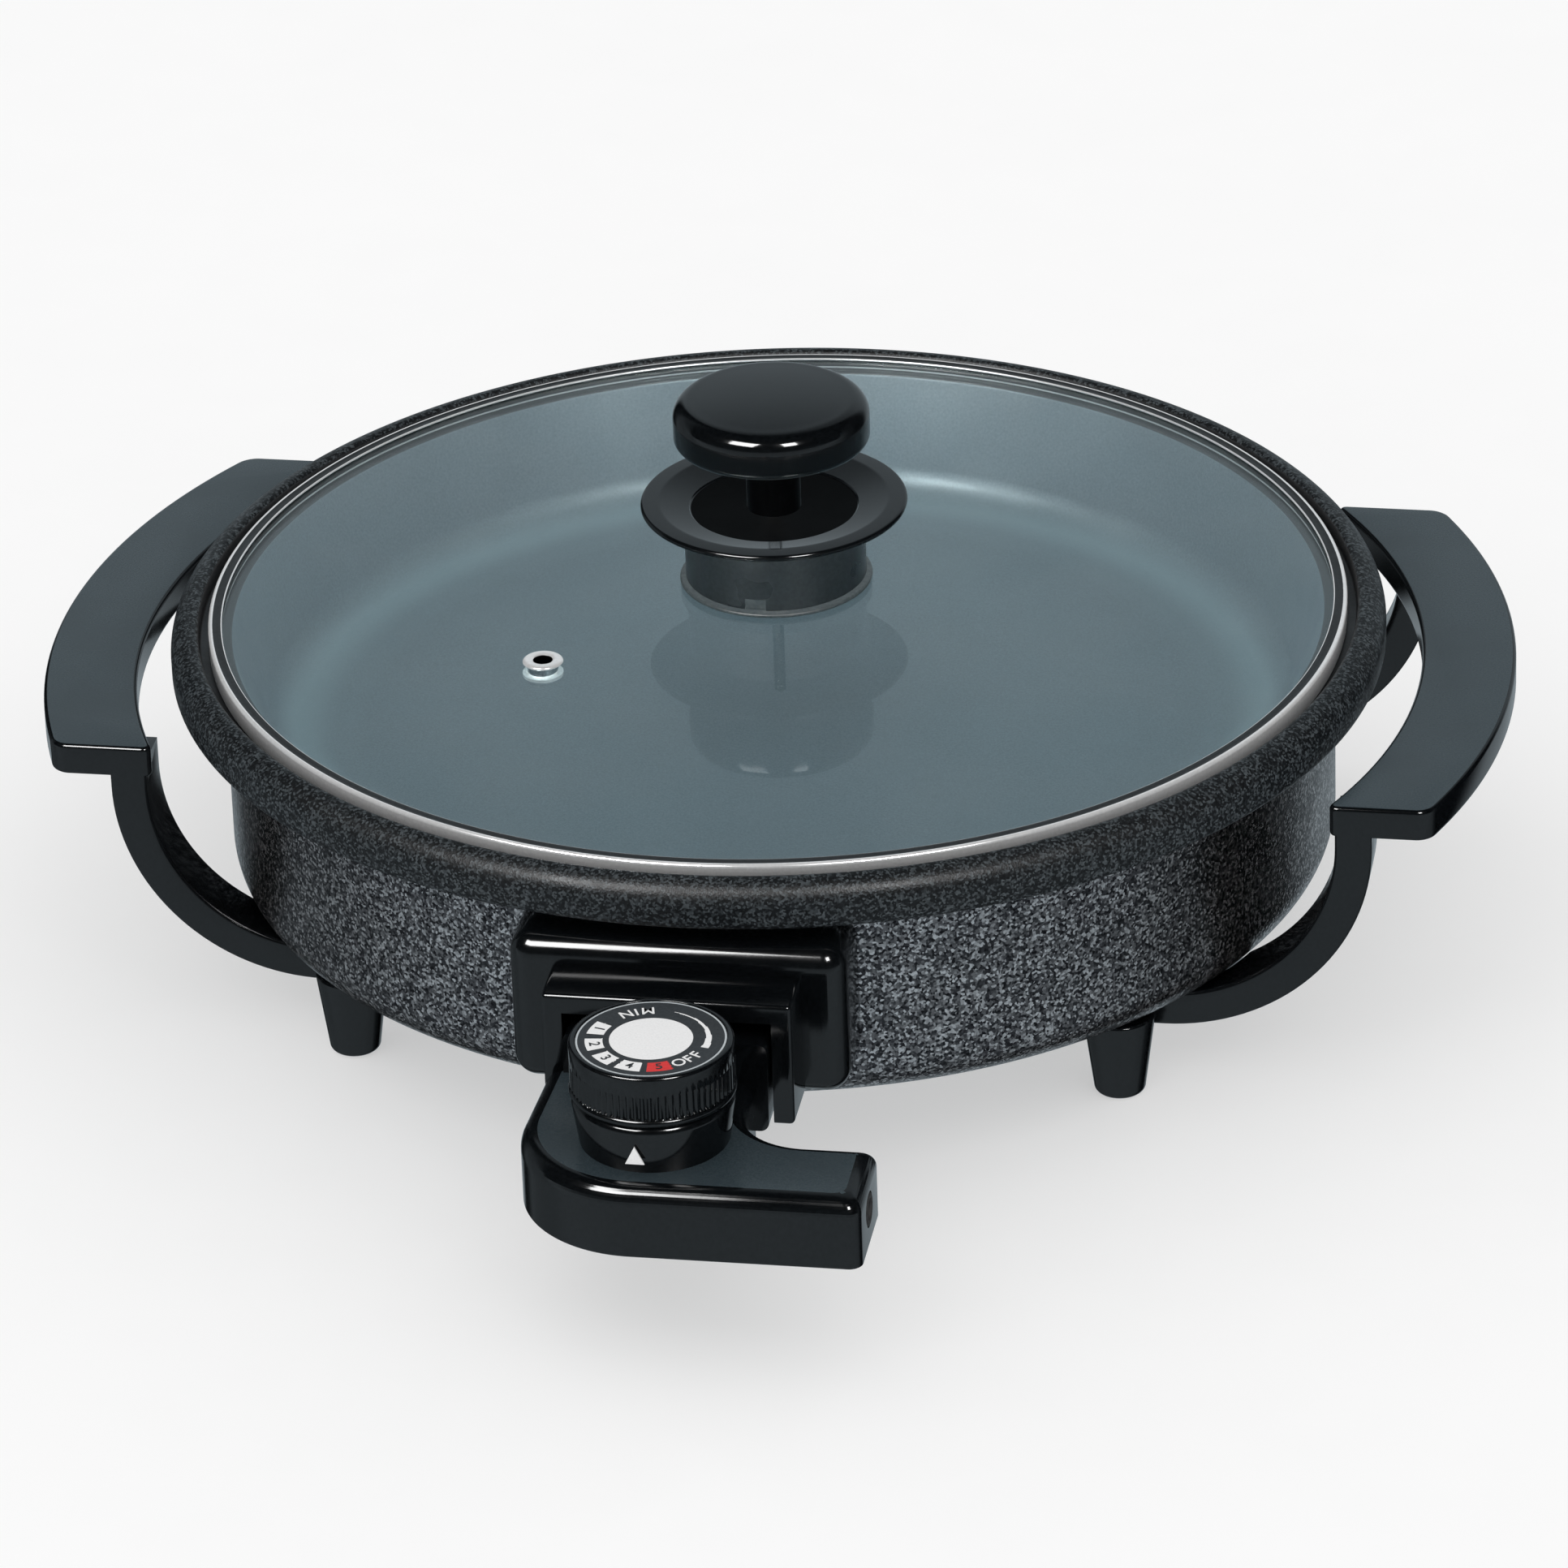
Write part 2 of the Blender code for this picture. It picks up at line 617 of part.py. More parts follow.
def block_screw_tip(side):
    """How far forward a block screw reaches."""
    return block_screw_seat(side) - BLOCK_PROUD - SCREW_RADIUS


def make_block_screws(paint):
    """Two screws from inside the skirt into the block."""
    made = []
    for side, name in ((-1.0, "left"), (1.0, "right")):
        x, z = block_screw_place(side)
        item = screw("block_screw_" + name, 0.0, 0.0, 0.0, BLOCK_PROUD, paint)
        item.data.transform(Matrix.Rotation(math.pi / 2, 4, "X"))
        item.data.transform(Matrix.Translation((x, block_screw_seat(side), z)))
        made.append(item)
    return made


# Handles and feet ----------------------------------------------------------------------------------

def grip_outline():
    """Plan of the right grip: part of a ring round the pan, cut square at both ends."""
    inner = GRIP_REACH - GRIP_WIDTH
    ends = []
    for radius in (GRIP_REACH, inner):
        ends.append([math.degrees(math.asin(y / radius)) for y in (-GRIP_FRONT, GRIP_REAR)])
    outer_run = arc((0.0, 0.0), GRIP_REACH, ends[0][0], ends[0][1], 10)
    return outer_run + arc((0.0, 0.0), inner, ends[1][1], ends[1][0], 10)


def arm_outline(lug_end):
    """Side view of an arm: down from the grip, round a bend and in under the pan."""
    centre = (ARM_CENTRE_X, ARM_CENTRE_Z)
    inner = ARM_BEND - ARM_THICK
    outer_run = [(centre[0] + ARM_BEND, ARM_TOP)] + arc(centre, ARM_BEND, 0.0, -90.0, 8)
    inner_run = arc(centre, inner, -90.0, 0.0, 8) + [(centre[0] + inner, ARM_TOP)]
    return outer_run + [(lug_end, centre[1] - ARM_BEND), (lug_end, centre[1] - inner)] + inner_run


def arm(front):
    """One arm, its outline in the XZ plane and its width along Y from its front face."""
    lug_end = lug_x(front + ARM_WIDTH / 2.0) - LUG_END
    outline = [(x, -z) for x, z in arm_outline(lug_end)]
    strap = prism(outline, front, front + ARM_WIDTH)
    return rotated(strap, -math.pi / 2, "X")


def pan_clearance():
    """The pan's outer shape below its rim, swollen by the clearance, which seats the arms on the pan."""
    base_centre = (WALL_RADIUS - BASE_ROUND, BASE_HEIGHT + BASE_ROUND)
    profile = [(0.0, RIM_BOTTOM), (WALL_RADIUS + GAP, RIM_BOTTOM)]
    profile += arc(base_centre, BASE_ROUND + GAP, 0.0, -90.0, 4)
    profile += [(0.0, BASE_HEIGHT - GAP)]
    return turned(profile, RING_STEPS)


def make_handle(name, side, paint):
    """One handle moulding: a flat curved grip on two arms that end in screwed lugs."""
    plate = prism(grip_outline(), GRIP_TOP - GRIP_THICK, GRIP_TOP)
    round_edges(plate, GRIP_ROUND, 2, lambda edge: abs(edge.verts[0].co.z - edge.verts[1].co.z) < GAP)
    arms = [arm(-GRIP_FRONT), arm(GRIP_REAR - ARM_WIDTH)]
    shapes = [plate] + arms
    if side < 0.0:
        for shape in shapes:
            bmesh.ops.scale(shape, vec=(-1.0, 1.0, 1.0), verts=shape.verts[:])
    handle = add_object(name, shapes[0], paint)
    join(handle, name + "_arms", shapes[1:])
    cut(handle, name + "_pan_seat", [pan_clearance()])
    places = [(x, y) for _, x, y in lug_places() if x * side > 0.0]
    bores = [rod(SCREW_RADIUS + GAP, 0.0, BASE_HEIGHT + GAP, SCREW_STEPS, place) for place in places]
    cut(handle, name + "_screw_bores", bores)
    head = SCREW_HEAD_RADIUS + GAP
    recesses = [rod(head, 0.0, lug_seat() + GAP, SMALL_STEPS, place) for place in places]
    return cut(handle, name + "_screw_recesses", recesses)


def lug_seat():
    """Height at which a handle screw's head bears in its lug."""
    return LUG_TOP - ARM_THICK / 2.0


def foot_seat():
    """Height at which a foot screw's head bears in its foot."""
    return BASE_HEIGHT - FOOT_RADIUS


def make_feet(paint, screw_paint):
    """Four tapered stub feet, each on a screw set up inside it."""
    made = []
    hole = SCREW_RADIUS + GAP
    recess = SCREW_HEAD_RADIUS + GAP
    for name, x, y in foot_places():
        profile = [(recess, 0.0)]
        profile += arc((FOOT_TIP - FOOT_ROUND, FOOT_ROUND), FOOT_ROUND, -90.0, 0.0, 3)
        profile += [(FOOT_RADIUS, LUG_TOP), (hole, LUG_TOP)]
        profile += [(hole, foot_seat() + GAP), (recess, foot_seat() + GAP)]
        made.append(add_object("foot_" + name, turned(profile, 16, (x, y)), paint))
        length = LUG_TOP - foot_seat() + SCREW_GRIP - SCREW_RADIUS
        made.append(screw("foot_screw_" + name, x, y, foot_seat(), length, screw_paint))
    return made


def make_base_screws(paint):
    """The handle screws and the cover screws."""
    made = []
    length = LUG_TOP - lug_seat() + SCREW_GRIP - SCREW_RADIUS
    for name, x, y in lug_places():
        made.append(screw("handle_screw_" + name, x, y, lug_seat(), length, paint))
    for name, x, y in cover_screw_places():
        made.append(screw("cover_screw_" + name, x, y, BASE_HEIGHT - GAP, COVER_SCREW_GRIP, paint))
    return made


# Lid -----------------------------------------------------------------------------------------------

def glass_height(radius):
    """Height of the glass's upper face: a shallow dome, highest on the axis."""
    return GLASS_TOP + GLASS_RISE * (1.0 - (radius / DOME_RADIUS) ** 2)


def make_lid_glass(paint):
    """The domed glass with a hole for the knob's screw and one for the vent."""
    edge = BAND_RADIUS - BAND_SHEET - GAP
    stations = [KNOB_HOLE] + [DOME_RADIUS * step / 4.0 for step in range(1, 5)]
    upper = [(radius, glass_height(radius)) for radius in stations]
    lower = [(radius, height - GLASS_THICK) for radius, height in upper]
    rim = [(edge, GLASS_TOP), (edge, GLASS_TOP - GLASS_THICK)]
    glass = add_object("lid_glass", turned(upper + rim + lower[::-1], RING_STEPS), paint)
    x, y = vent_place()
    return cut(glass, "vent_hole", [rod(vent_tube() + GAP, 0.0, 2.0 * BAND_TOP, SMALL_STEPS, (x, y))])


def make_lid_band(paint):
    """The steel band: a channel that wraps the edge of the glass."""
    inner = BAND_RADIUS - BAND_DEPTH
    bottom = BAND_TOP - 2.0 * BAND_SHEET - GLASS_THICK - 2.0 * GAP
    profile = [
        (inner, BAND_TOP),
        (BAND_RADIUS - BAND_SHEET, BAND_TOP),
        (BAND_RADIUS, BAND_TOP - BAND_SHEET),
        (BAND_RADIUS, bottom),
        (inner, bottom),
        (inner, bottom + BAND_SHEET),
        (BAND_RADIUS - BAND_SHEET, bottom + BAND_SHEET),
        (BAND_RADIUS - BAND_SHEET, BAND_TOP - BAND_SHEET),
        (inner, BAND_TOP - BAND_SHEET),
    ]
    return add_object("lid_rim_band", turned(profile, RING_STEPS), paint)


def vent_place():
    """Centre of the steam vent."""
    return VENT_REACH * math.cos(VENT_ANGLE), VENT_REACH * math.sin(VENT_ANGLE)


def vent_tube():
    """Outer radius of the vent grommet's tube."""
    return (VENT_RADIUS + VENT_HOLE) / 2.0


def make_vent(paint):
    """The steel grommet in the steam vent, rolled over both faces of the glass."""
    tilt_room = VENT_RADIUS * 2.0 * GLASS_RISE * VENT_REACH / DOME_RADIUS ** 2
    middle = glass_height(VENT_REACH)
    top = middle + GAP + tilt_room
    bottom = middle - GLASS_THICK - GAP - tilt_room
    profile = [
        (VENT_HOLE, top + VENT_LIP / 2.0),
        (VENT_HOLE + VENT_EDGE, top + VENT_LIP),
        (VENT_RADIUS - VENT_EDGE, top + VENT_LIP),
        (VENT_RADIUS, top + VENT_LIP / 3.0),
        (VENT_RADIUS, top),
        (vent_tube(), top),
        (vent_tube(), bottom),
        (VENT_RADIUS, bottom),
        (VENT_RADIUS, bottom - VENT_LIP),
        (VENT_HOLE, bottom - VENT_LIP),
    ]
    return add_object("vent_grommet", turned(profile, SMALL_STEPS, vent_place()), paint)


def knob_levels():
    """Heights of the knob stack on the lid: gasket foot, boss foot, guard, neck foot, cap foot, cap top."""
    gasket = KNOB_BASE + GAP
    boss = gasket + GASKET_THICK + GAP
    guard = boss + BOSS_HEIGHT
    neck = guard + GUARD_EDGE / 2.0 + GAP
    cap = neck + NECK_HEIGHT
    return gasket, boss, guard, neck, cap, cap + CAP_HEIGHT


def guard_profile(boss, guard):
    """Section of the saucer-shaped finger guard and the hollow boss under it."""
    hole = SCREW_RADIUS + GAP
    inside = BOSS_RADIUS - BOSS_WALL
    dish = guard + GUARD_EDGE / 2.0
    brim = guard + GUARD_EDGE
    edge = GUARD_WALL / 2.0
    profile = [(hole, dish), (DISH_RADIUS, dish)]
    profile += [(GUARD_RADIUS - 2.0 * GUARD_WALL, brim), (GUARD_RADIUS - edge, brim)]
    profile += [(GUARD_RADIUS, brim - GUARD_WALL), (GUARD_RADIUS - GUARD_WALL, brim - 1.5 * GUARD_WALL)]
    profile += [(BOSS_RADIUS + GUARD_WALL, guard), (BOSS_RADIUS, guard - GUARD_WALL), (BOSS_RADIUS, boss)]
    profile += [(inside, boss), (inside, guard - GUARD_WALL), (hole, guard - GUARD_WALL)]
    return profile


def cap_profile(neck, cap, top):
    """Section of the mushroom cap and its neck, with a blind hole for the screw."""
    hole = SCREW_RADIUS + GAP
    centre = CAP_RADIUS - CAP_ROUND
    shoulder = top - CAP_CROWN
    profile = [(0.0, top), (centre, shoulder)]
    profile += arc((centre, shoulder - CAP_ROUND), CAP_ROUND, 60.0, 0.0, 2)
    profile += arc((centre, cap + CAP_ROUND), CAP_ROUND, 0.0, -90.0, 3)
    profile += [(NECK_RADIUS, cap), (NECK_RADIUS, neck), (hole, neck), (hole, cap), (0.0, cap)]
    return profile


def make_knob(paint, rubber, steel):
    """The knob stack: gasket, guard on its boss, cap with neck, washer and screw."""
    gasket, boss, guard, neck, cap, top = knob_levels()
    hole = SCREW_RADIUS + GAP
    made = []
    ring = [(KNOB_HOLE, gasket + GASKET_THICK), (GASKET_RADIUS, gasket + GASKET_THICK),
            (GASKET_RADIUS, gasket), (KNOB_HOLE, gasket)]
    made.append(add_object("knob_gasket", turned(ring, ROUND_STEPS), rubber))
    made.append(add_object("knob_guard", turned(guard_profile(boss, guard), ROUND_STEPS), paint))
    made.append(add_object("knob_cap", turned(cap_profile(neck, cap, top), ROUND_STEPS), paint))
    under = KNOB_BASE - GLASS_THICK - GAP
    below = under - WASHER_THICK
    washer = [(hole, under), (WASHER_RADIUS, under), (WASHER_RADIUS, below), (hole, below)]
    made.append(add_object("knob_washer", turned(washer, 16), steel))
    seat = below - GAP
    made.append(screw("knob_screw", 0.0, 0.0, seat, cap - seat - 2.0 * SCREW_RADIUS, steel))
    return made


# Thermostat ----------------------------------------------------------------------------------------

def case_outline(inset):
    """Plan of the thermostat case, drawn in by the given inset all the way round."""
    back = HEAD_FRONT - inset
    rear = CASE_FRONT + CASE_ARM_DEPTH
    end = CASE_END - inset
    round_end = end - CASE_END_ROUND
    nose = (CASE_NOSE_ROUND - CASE_NOSE_LEFT, CASE_FRONT + CASE_NOSE_ROUND)
    throat = (CASE_THROAT_X + CASE_THROAT, rear + CASE_THROAT)
    points = [(-CASE_NECK_LEFT + inset, back)]
    points += arc(nose, CASE_NOSE_ROUND - inset, 180.0, 270.0, 8)
    points += [(round_end, CASE_FRONT + inset), (end, CASE_FRONT + inset + CASE_END_ROUND)]
    points += [(end, rear - inset - CASE_END_ROUND / 2.0), (end - CASE_END_ROUND / 2.0, rear - inset)]
    points += arc(throat, CASE_THROAT + inset, 270.0, 180.0, 6)
    points += [(CASE_THROAT_X - inset, back)]
    return points


def case_screw_places():
    """Three screws that hold the case's bottom cover: x and y."""
    room = CASE_WALL + 2.0 * CASE_POST_RADIUS
    in_arm = (CASE_THROAT_X + CASE_THROAT, CASE_FRONT + room)
    in_nose = (room - CASE_NOSE_LEFT, CASE_FRONT + CASE_NOSE_ROUND)
    in_neck = (CASE_THROAT_X - room, HEAD_FRONT - room)
    return [(str(number + 1), x, y) for number, (x, y) in enumerate((in_arm, in_nose, in_neck))]


def case_shell(paint):
    """The case's outer shape: rounded arm and nose, the plug head and the collar."""
    shell = prism(case_outline(0.0), CASE_BOTTOM, CASE_TOP)
    back = HEAD_FRONT - GAP
    round_edges(shell, CASE_EDGE_ROUND, 3, lambda edge: min(v.co.z for v in edge.verts) > CASE_TOP - GAP
                and min(v.co.y for v in edge.verts) < back)
    case = add_object("thermostat_case", shell, paint)
    half = HEAD_HALF_WIDTH
    head = block((-half, HEAD_FRONT - PAST, HEAD_BOTTOM), (half, HEAD_BACK, HEAD_TOP))
    round_edges(head, HEAD_ROUND, 2, lambda edge: abs(edge.verts[0].co.y - edge.verts[1].co.y) > GAP)
    join(case, "plug_head", [head])
    return join(case, "dial_collar", [collar()])


def hollow_case(case):
    """Hollow out the arm, the head and the collar, and join the screw posts on."""
    cut(case, "case_hollow", [prism(case_outline(CASE_WALL), CASE_BOTTOM - PAST, CASE_ROOF)])
    half = HEAD_HALF_WIDTH - CASE_WALL
    low = HEAD_BOTTOM + CASE_WALL
    high = HEAD_TOP - CASE_WALL
    inside_head = block((-half, HEAD_FRONT + CASE_WALL, low), (half, HEAD_BACK - CASE_WALL, high))
    cut(case, "head_hollow", [inside_head])
    reach = 2.0 * CASE_WALL
    neck = CASE_THROAT_X - reach
    passage = block((-neck, HEAD_FRONT - reach, low), (neck, HEAD_FRONT + reach, CASE_ROOF - PAST))
    cut(case, "neck_hollow", [passage])
    high = CASE_TOP + COLLAR_HEIGHT - CASE_WALL
    room = rod(COLLAR_FOOT_RADIUS - CASE_WALL, CASE_BOTTOM, high, ROUND_STEPS, (DIAL_X, DIAL_Y))
    cut(case, "collar_hollow", [room])
    foot = CASE_BOTTOM + CASE_WALL + GAP
    places = [(x, y) for _, x, y in case_screw_places()]
    posts = [rod(CASE_POST_RADIUS, foot, CASE_ROOF + PAST, SMALL_STEPS, place) for place in places]
    return join(case, "case_posts", posts)


def make_case(paint):
    """Upper case: a shell open below, with the plug head at its back and the dial's collar on top."""
    case = hollow_case(case_shell(paint))
    above = CASE_TOP + 2.0 * COLLAR_HEIGHT
    holes = [rod(SPINDLE_RADIUS + GAP, CASE_TOP, above, SMALL_STEPS, (DIAL_X, DIAL_Y))]
    for _, x, y in case_screw_places():
        holes.append(screw_hole(x, y, CASE_BOTTOM, CASE_SCREW_LENGTH, SMALL_SCREW))
    front = HEAD_BACK - 2.0 * CASE_WALL
    behind = HEAD_BACK + PAST
    holes.append(rod_along_y(PROBE_RADIUS + GAP, behind, front, 0.0, AXIS_HEIGHT, SMALL_STEPS))
    for side in (-1.0, 1.0):
        x = side * PIN_SPREAD
        holes.append(rod_along_y(CONTACT_RADIUS + GAP, behind, front, x, AXIS_HEIGHT, SMALL_STEPS))
    gland = along_x(rod(GLAND_RADIUS + GAP, -2.0 * CASE_WALL, 2.0 * CASE_WALL, SMALL_STEPS))
    holes.append(moved(gland, x=CASE_END, y=gland_y(), z=gland_z()))
    return cut(case, "case_holes", holes)


def along_x(made):
    """Lay an upright turned piece down, so that its top points to +X."""
    return rotated(made, math.pi / 2, "Y")


def collar():
    """The drum under the dial, a little narrower at its foot."""
    high = CASE_TOP + COLLAR_HEIGHT
    low = CASE_TOP - CASE_WALL
    profile = [(0.0, low), (COLLAR_FOOT_RADIUS, low), (COLLAR_FOOT_RADIUS, CASE_TOP)]
    profile += [(COLLAR_RADIUS, high - PAST), (COLLAR_RADIUS - PAST, high), (0.0, high)]
    return turned(profile, ROUND_STEPS, (DIAL_X, DIAL_Y))


def gland_y():
    """Where the cord leaves the case: the middle of its arm."""
    return CASE_FRONT + CASE_ARM_DEPTH / 2.0


def gland_z():
    """Height of the cord's outlet: midway between the bottom plate and the case's roof."""
    return (CASE_BOTTOM + CASE_WALL + CASE_ROOF) / 2.0


def make_case_cover(paint, steel):
    """The plate that closes the case from below, and its three screws."""
    plate = prism(case_outline(CASE_WALL + GAP), CASE_BOTTOM, CASE_BOTTOM + CASE_WALL)
    cover = add_object("thermostat_bottom", plate, paint)
    places = case_screw_places()
    bore = SCREW_RADIUS * SMALL_SCREW + GAP
    recess = SCREW_HEAD_RADIUS * SMALL_SCREW + GAP
    seat = case_screw_seat()
    cut(cover, "bottom_holes", [rod(bore, 0.0, CASE_TOP, SCREW_STEPS, (x, y)) for _, x, y in places])
    cut(cover, "bottom_recesses", [rod(recess, 0.0, seat + GAP, SMALL_STEPS, (x, y)) for _, x, y in places])
    made = [cover]
    for name, x, y in places:
        made.append(screw("case_screw_" + name, x, y, seat, CASE_SCREW_LENGTH, steel, SMALL_SCREW))
    return made


def case_screw_seat():
    """Height at which a case screw's head bears, just inside the bottom cover."""
    return CASE_BOTTOM + SCREW_HEAD_THICK * SMALL_SCREW


def make_probe(paint):
    """The long sensor rod, with a flange behind the head's back wall and a round tip."""
    flange = PROBE_RADIUS + PROBE_FLANGE
    wall_front = -HEAD_BACK + CASE_WALL + GAP
    tip = -(HEAD_BACK + PROBE_LENGTH)
    profile = [(0.0, tip)]
    profile += arc((0.0, tip + PROBE_RADIUS), PROBE_RADIUS, -60.0, 0.0, 2)
    profile += [(PROBE_RADIUS, wall_front), (flange, wall_front)]
    profile += [(flange, wall_front + PROBE_FLANGE), (0.0, wall_front + PROBE_FLANGE)]
    rod_shape = moved(lay_along_y(turned(profile, SMALL_STEPS)), z=AXIS_HEIGHT)
    return add_object("sensor_probe", rod_shape, paint)


def make_contacts(brass, ceramic):
    """Two tubular contacts for the pins, held in a ceramic carrier inside the head."""
    made = []
    low = -HEAD_BACK + GAP
    high = -HEAD_FRONT - CASE_WALL
    for side, name in ((-1.0, "left"), (1.0, "right")):
        tube = [(CONTACT_BORE, low), (CONTACT_RADIUS, low), (CONTACT_RADIUS, high), (CONTACT_BORE, high)]
        shape = moved(lay_along_y(turned(tube, SMALL_STEPS)), x=side * PIN_SPREAD, z=AXIS_HEIGHT)
        made.append(add_object("socket_contact_" + name, shape, brass))
    half = PIN_SPREAD + CONTACT_RADIUS + CARRIER_MARGIN
    rise = CONTACT_RADIUS + CARRIER_MARGIN
    front = HEAD_FRONT + CASE_WALL + GAP
    plate = block((-half, front, AXIS_HEIGHT - rise), (half, front + CARRIER_THICK, AXIS_HEIGHT + rise))
    carrier = add_object("contact_carrier", plate, ceramic)
    bore = CONTACT_RADIUS + GAP
    far = 2.0 * HEAD_FRONT
    holes = [rod_along_y(bore, 0.0, far, x, AXIS_HEIGHT, SMALL_STEPS) for x in (-PIN_SPREAD, PIN_SPREAD)]
    made.append(cut(carrier, "carrier_holes", holes))
    return made


def make_switch(steel, copper):
    """The switch plate round the spindle's foot and the bimetal blade below it."""
    level = CASE_BOTTOM + CASE_WALL + SWITCH_RISE
    half = 5.0 * SPINDLE_RADIUS
    plate = add_object("switch_plate", block((DIAL_X - half, DIAL_Y - half, level),
                                             (DIAL_X + half, DIAL_Y + half, level + SWITCH_SHEET)), steel)
    cut(plate, "plate_hole", [rod(SPINDLE_RADIUS + GAP, 0.0, 2.0 * level, SMALL_STEPS, (DIAL_X, DIAL_Y))])
    low = level - BLADE_DROP
    width = half / 3.0
    blade = block((DIAL_X - width, DIAL_Y - half, low), (DIAL_X + width, DIAL_Y + half, low + BLADE_SHEET))
    return [plate, add_object("bimetal_blade", blade, copper)]


def make_gland(rubber):
    """The rubber bush where the cord enters the end of the case, a little proud of it."""
    proud = GAP
    back = proud - GLAND_LENGTH
    tube = [(GLAND_BORE, back), (GLAND_RADIUS, back), (GLAND_RADIUS, proud), (GLAND_BORE, proud)]
    bush = along_x(turned(tube, SMALL_STEPS))
    return add_object("cord_bush", moved(bush, x=CASE_END, y=gland_y(), z=gland_z()), rubber)


def make_pointer(paint):
    """The raised triangle on the front of the collar that the dial is read against."""
    low = CASE_TOP + POINTER_RISE
    front = DIAL_Y - COLLAR_RADIUS - GAP
    half = POINTER_SIZE / 2.0
    made = bmesh.new()
    corners = ((POINTER_X - half, low), (POINTER_X + half, low), (POINTER_X, low + POINTER_SIZE))
    face = made.faces.new([made.verts.new((x, front, z)) for x, z in corners])
    grown = bmesh.ops.extrude_face_region(made, geom=[face])
    far = [part for part in grown["geom"] if isinstance(part, bmesh.types.BMVert)]
    bmesh.ops.translate(made, verts=far, vec=(0.0, -POINTER_THICK, 0.0))
    return add_object("pointer_mark", made, paint)


def dial_profile(low, high, recess):
    """Section of the dial: a thin-walled cup, open below, with a hub and a recess for its face plate."""
    hub = SPINDLE_RADIUS + GAP
    boss = hub + DIAL_WALL
    under = recess - DIAL_WALL
    inner = DIAL_RADIUS - DIAL_WALL
    profile = [(0.0, recess), (DIAL_FACE_RADIUS, recess), (DIAL_FACE_RADIUS, high)]
    profile += [(DIAL_RADIUS - DIAL_SHOULDER, high), (DIAL_RADIUS, high - DIAL_SHOULDER)]
    profile += [(DIAL_RADIUS, low + PAST), (DIAL_RADIUS - PAST, low), (inner, low), (inner, under)]
    profile += [(boss, under), (boss, low), (hub, low), (hub, under), (0.0, under)]
    return profile


def make_dial(paint, print_paint, steel):
    """The dial: knurled knob, printed face and the steel spindle it turns."""
    centre = (DIAL_X, DIAL_Y)
    high = DIAL_BOTTOM + DIAL_HEIGHT
    recess = high - DIAL_PLATE
    cup = turned(dial_profile(DIAL_BOTTOM, high, recess), ROUND_STEPS, centre)
    knob = add_object("dial_knob", cup, paint)
    face = rod(DIAL_FACE_RADIUS - GAP, recess + GAP, high - GAP, ROUND_STEPS, centre)
    plate = add_object("dial_face_plate", face, print_paint)
    foot = CASE_BOTTOM + CASE_WALL + BLADE_DROP
    spindle = rod(SPINDLE_RADIUS, foot, recess - DIAL_WALL - GAP, SMALL_STEPS, centre)
    return [knob, plate, add_object("dial_spindle", spindle, steel)]


def build():
    """Make every piece and hang the moving bodies on their joint axes."""
    clear_scene()
    phenolic = material("black_phenolic", (0.012, 0.013, 0.014), 0.22)
    cast = material("granite_coating", (0.10, 0.10, 0.105), 0.55)
    steel = material("bright_steel", (0.75, 0.75, 0.76), 0.18, metallic=1.0)
    sheet = material("aluminised_sheet", (0.45, 0.45, 0.46), 0.38, metallic=1.0)
    zinc = material("zinc_plate", (0.62, 0.62, 0.60), 0.32, metallic=1.0)
    brass = material("nickel_brass", (0.72, 0.66, 0.48), 0.30, metallic=1.0)
    ceramic = material("white_ceramic", (0.80, 0.77, 0.70), 0.55)
    rubber = material("black_rubber", (0.02, 0.02, 0.02), 0.75)
    sheath = material("element_sheath", (0.20, 0.19, 0.18), 0.50, metallic=1.0)
    glass = material("clear_glass", (0.90, 0.97, 0.96), 0.03, transmission=1.0)
    print_paint = material("dial_print", (0.16, 0.17, 0.18), 0.45)
    white = material("white_mark", (0.85, 0.86, 0.87), 0.5)
    copper = material("bimetal", (0.60, 0.42, 0.28), 0.35, metallic=1.0)

    make_pan_body(cast)
    make_bottom_cover(sheet)
    make_element(sheath)
    make_terminals(brass, ceramic)
    make_connector_block(phenolic)
    make_block_screws(zinc)
    make_handle("handle_left", -1.0, phenolic)
    make_handle("handle_right", 1.0, phenolic)
    make_feet(phenolic, zinc)
    make_base_screws(zinc)

    lid = [make_lid_glass(glass), make_lid_band(steel), make_vent(steel)]
    lid += make_knob(phenolic, rubber, steel)
    parent_to(lid, "lid_axis", 0.0, 0.0, BAND_TOP)

    thermostat = [make_case(phenolic), make_probe(steel), make_gland(rubber), make_pointer(white)]
    thermostat += make_case_cover(phenolic, zinc)
    thermostat += make_contacts(brass, ceramic)
    thermostat += make_switch(zinc, copper)
    plug = parent_to(thermostat, "plug_axis", 0.0, HEAD_FRONT, AXIS_HEIGHT)

    dial = parent_to(make_dial(phenolic, print_paint, zinc), "dial_axis", DIAL_X, DIAL_Y, CASE_TOP)
    dial.parent = plug
    dial.matrix_parent_inverse = Matrix.Translation(-Vector(plug.location))


build()
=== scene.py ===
"""Finished look of the round electric pan: every visible piece remade finely round its CAD frame.

Shapes are modelled about the pan's own upright axis, in metres, and put in place when they are done.
"""
import math

import bmesh
import bpy
from mathutils import Matrix, Quaternion, Vector


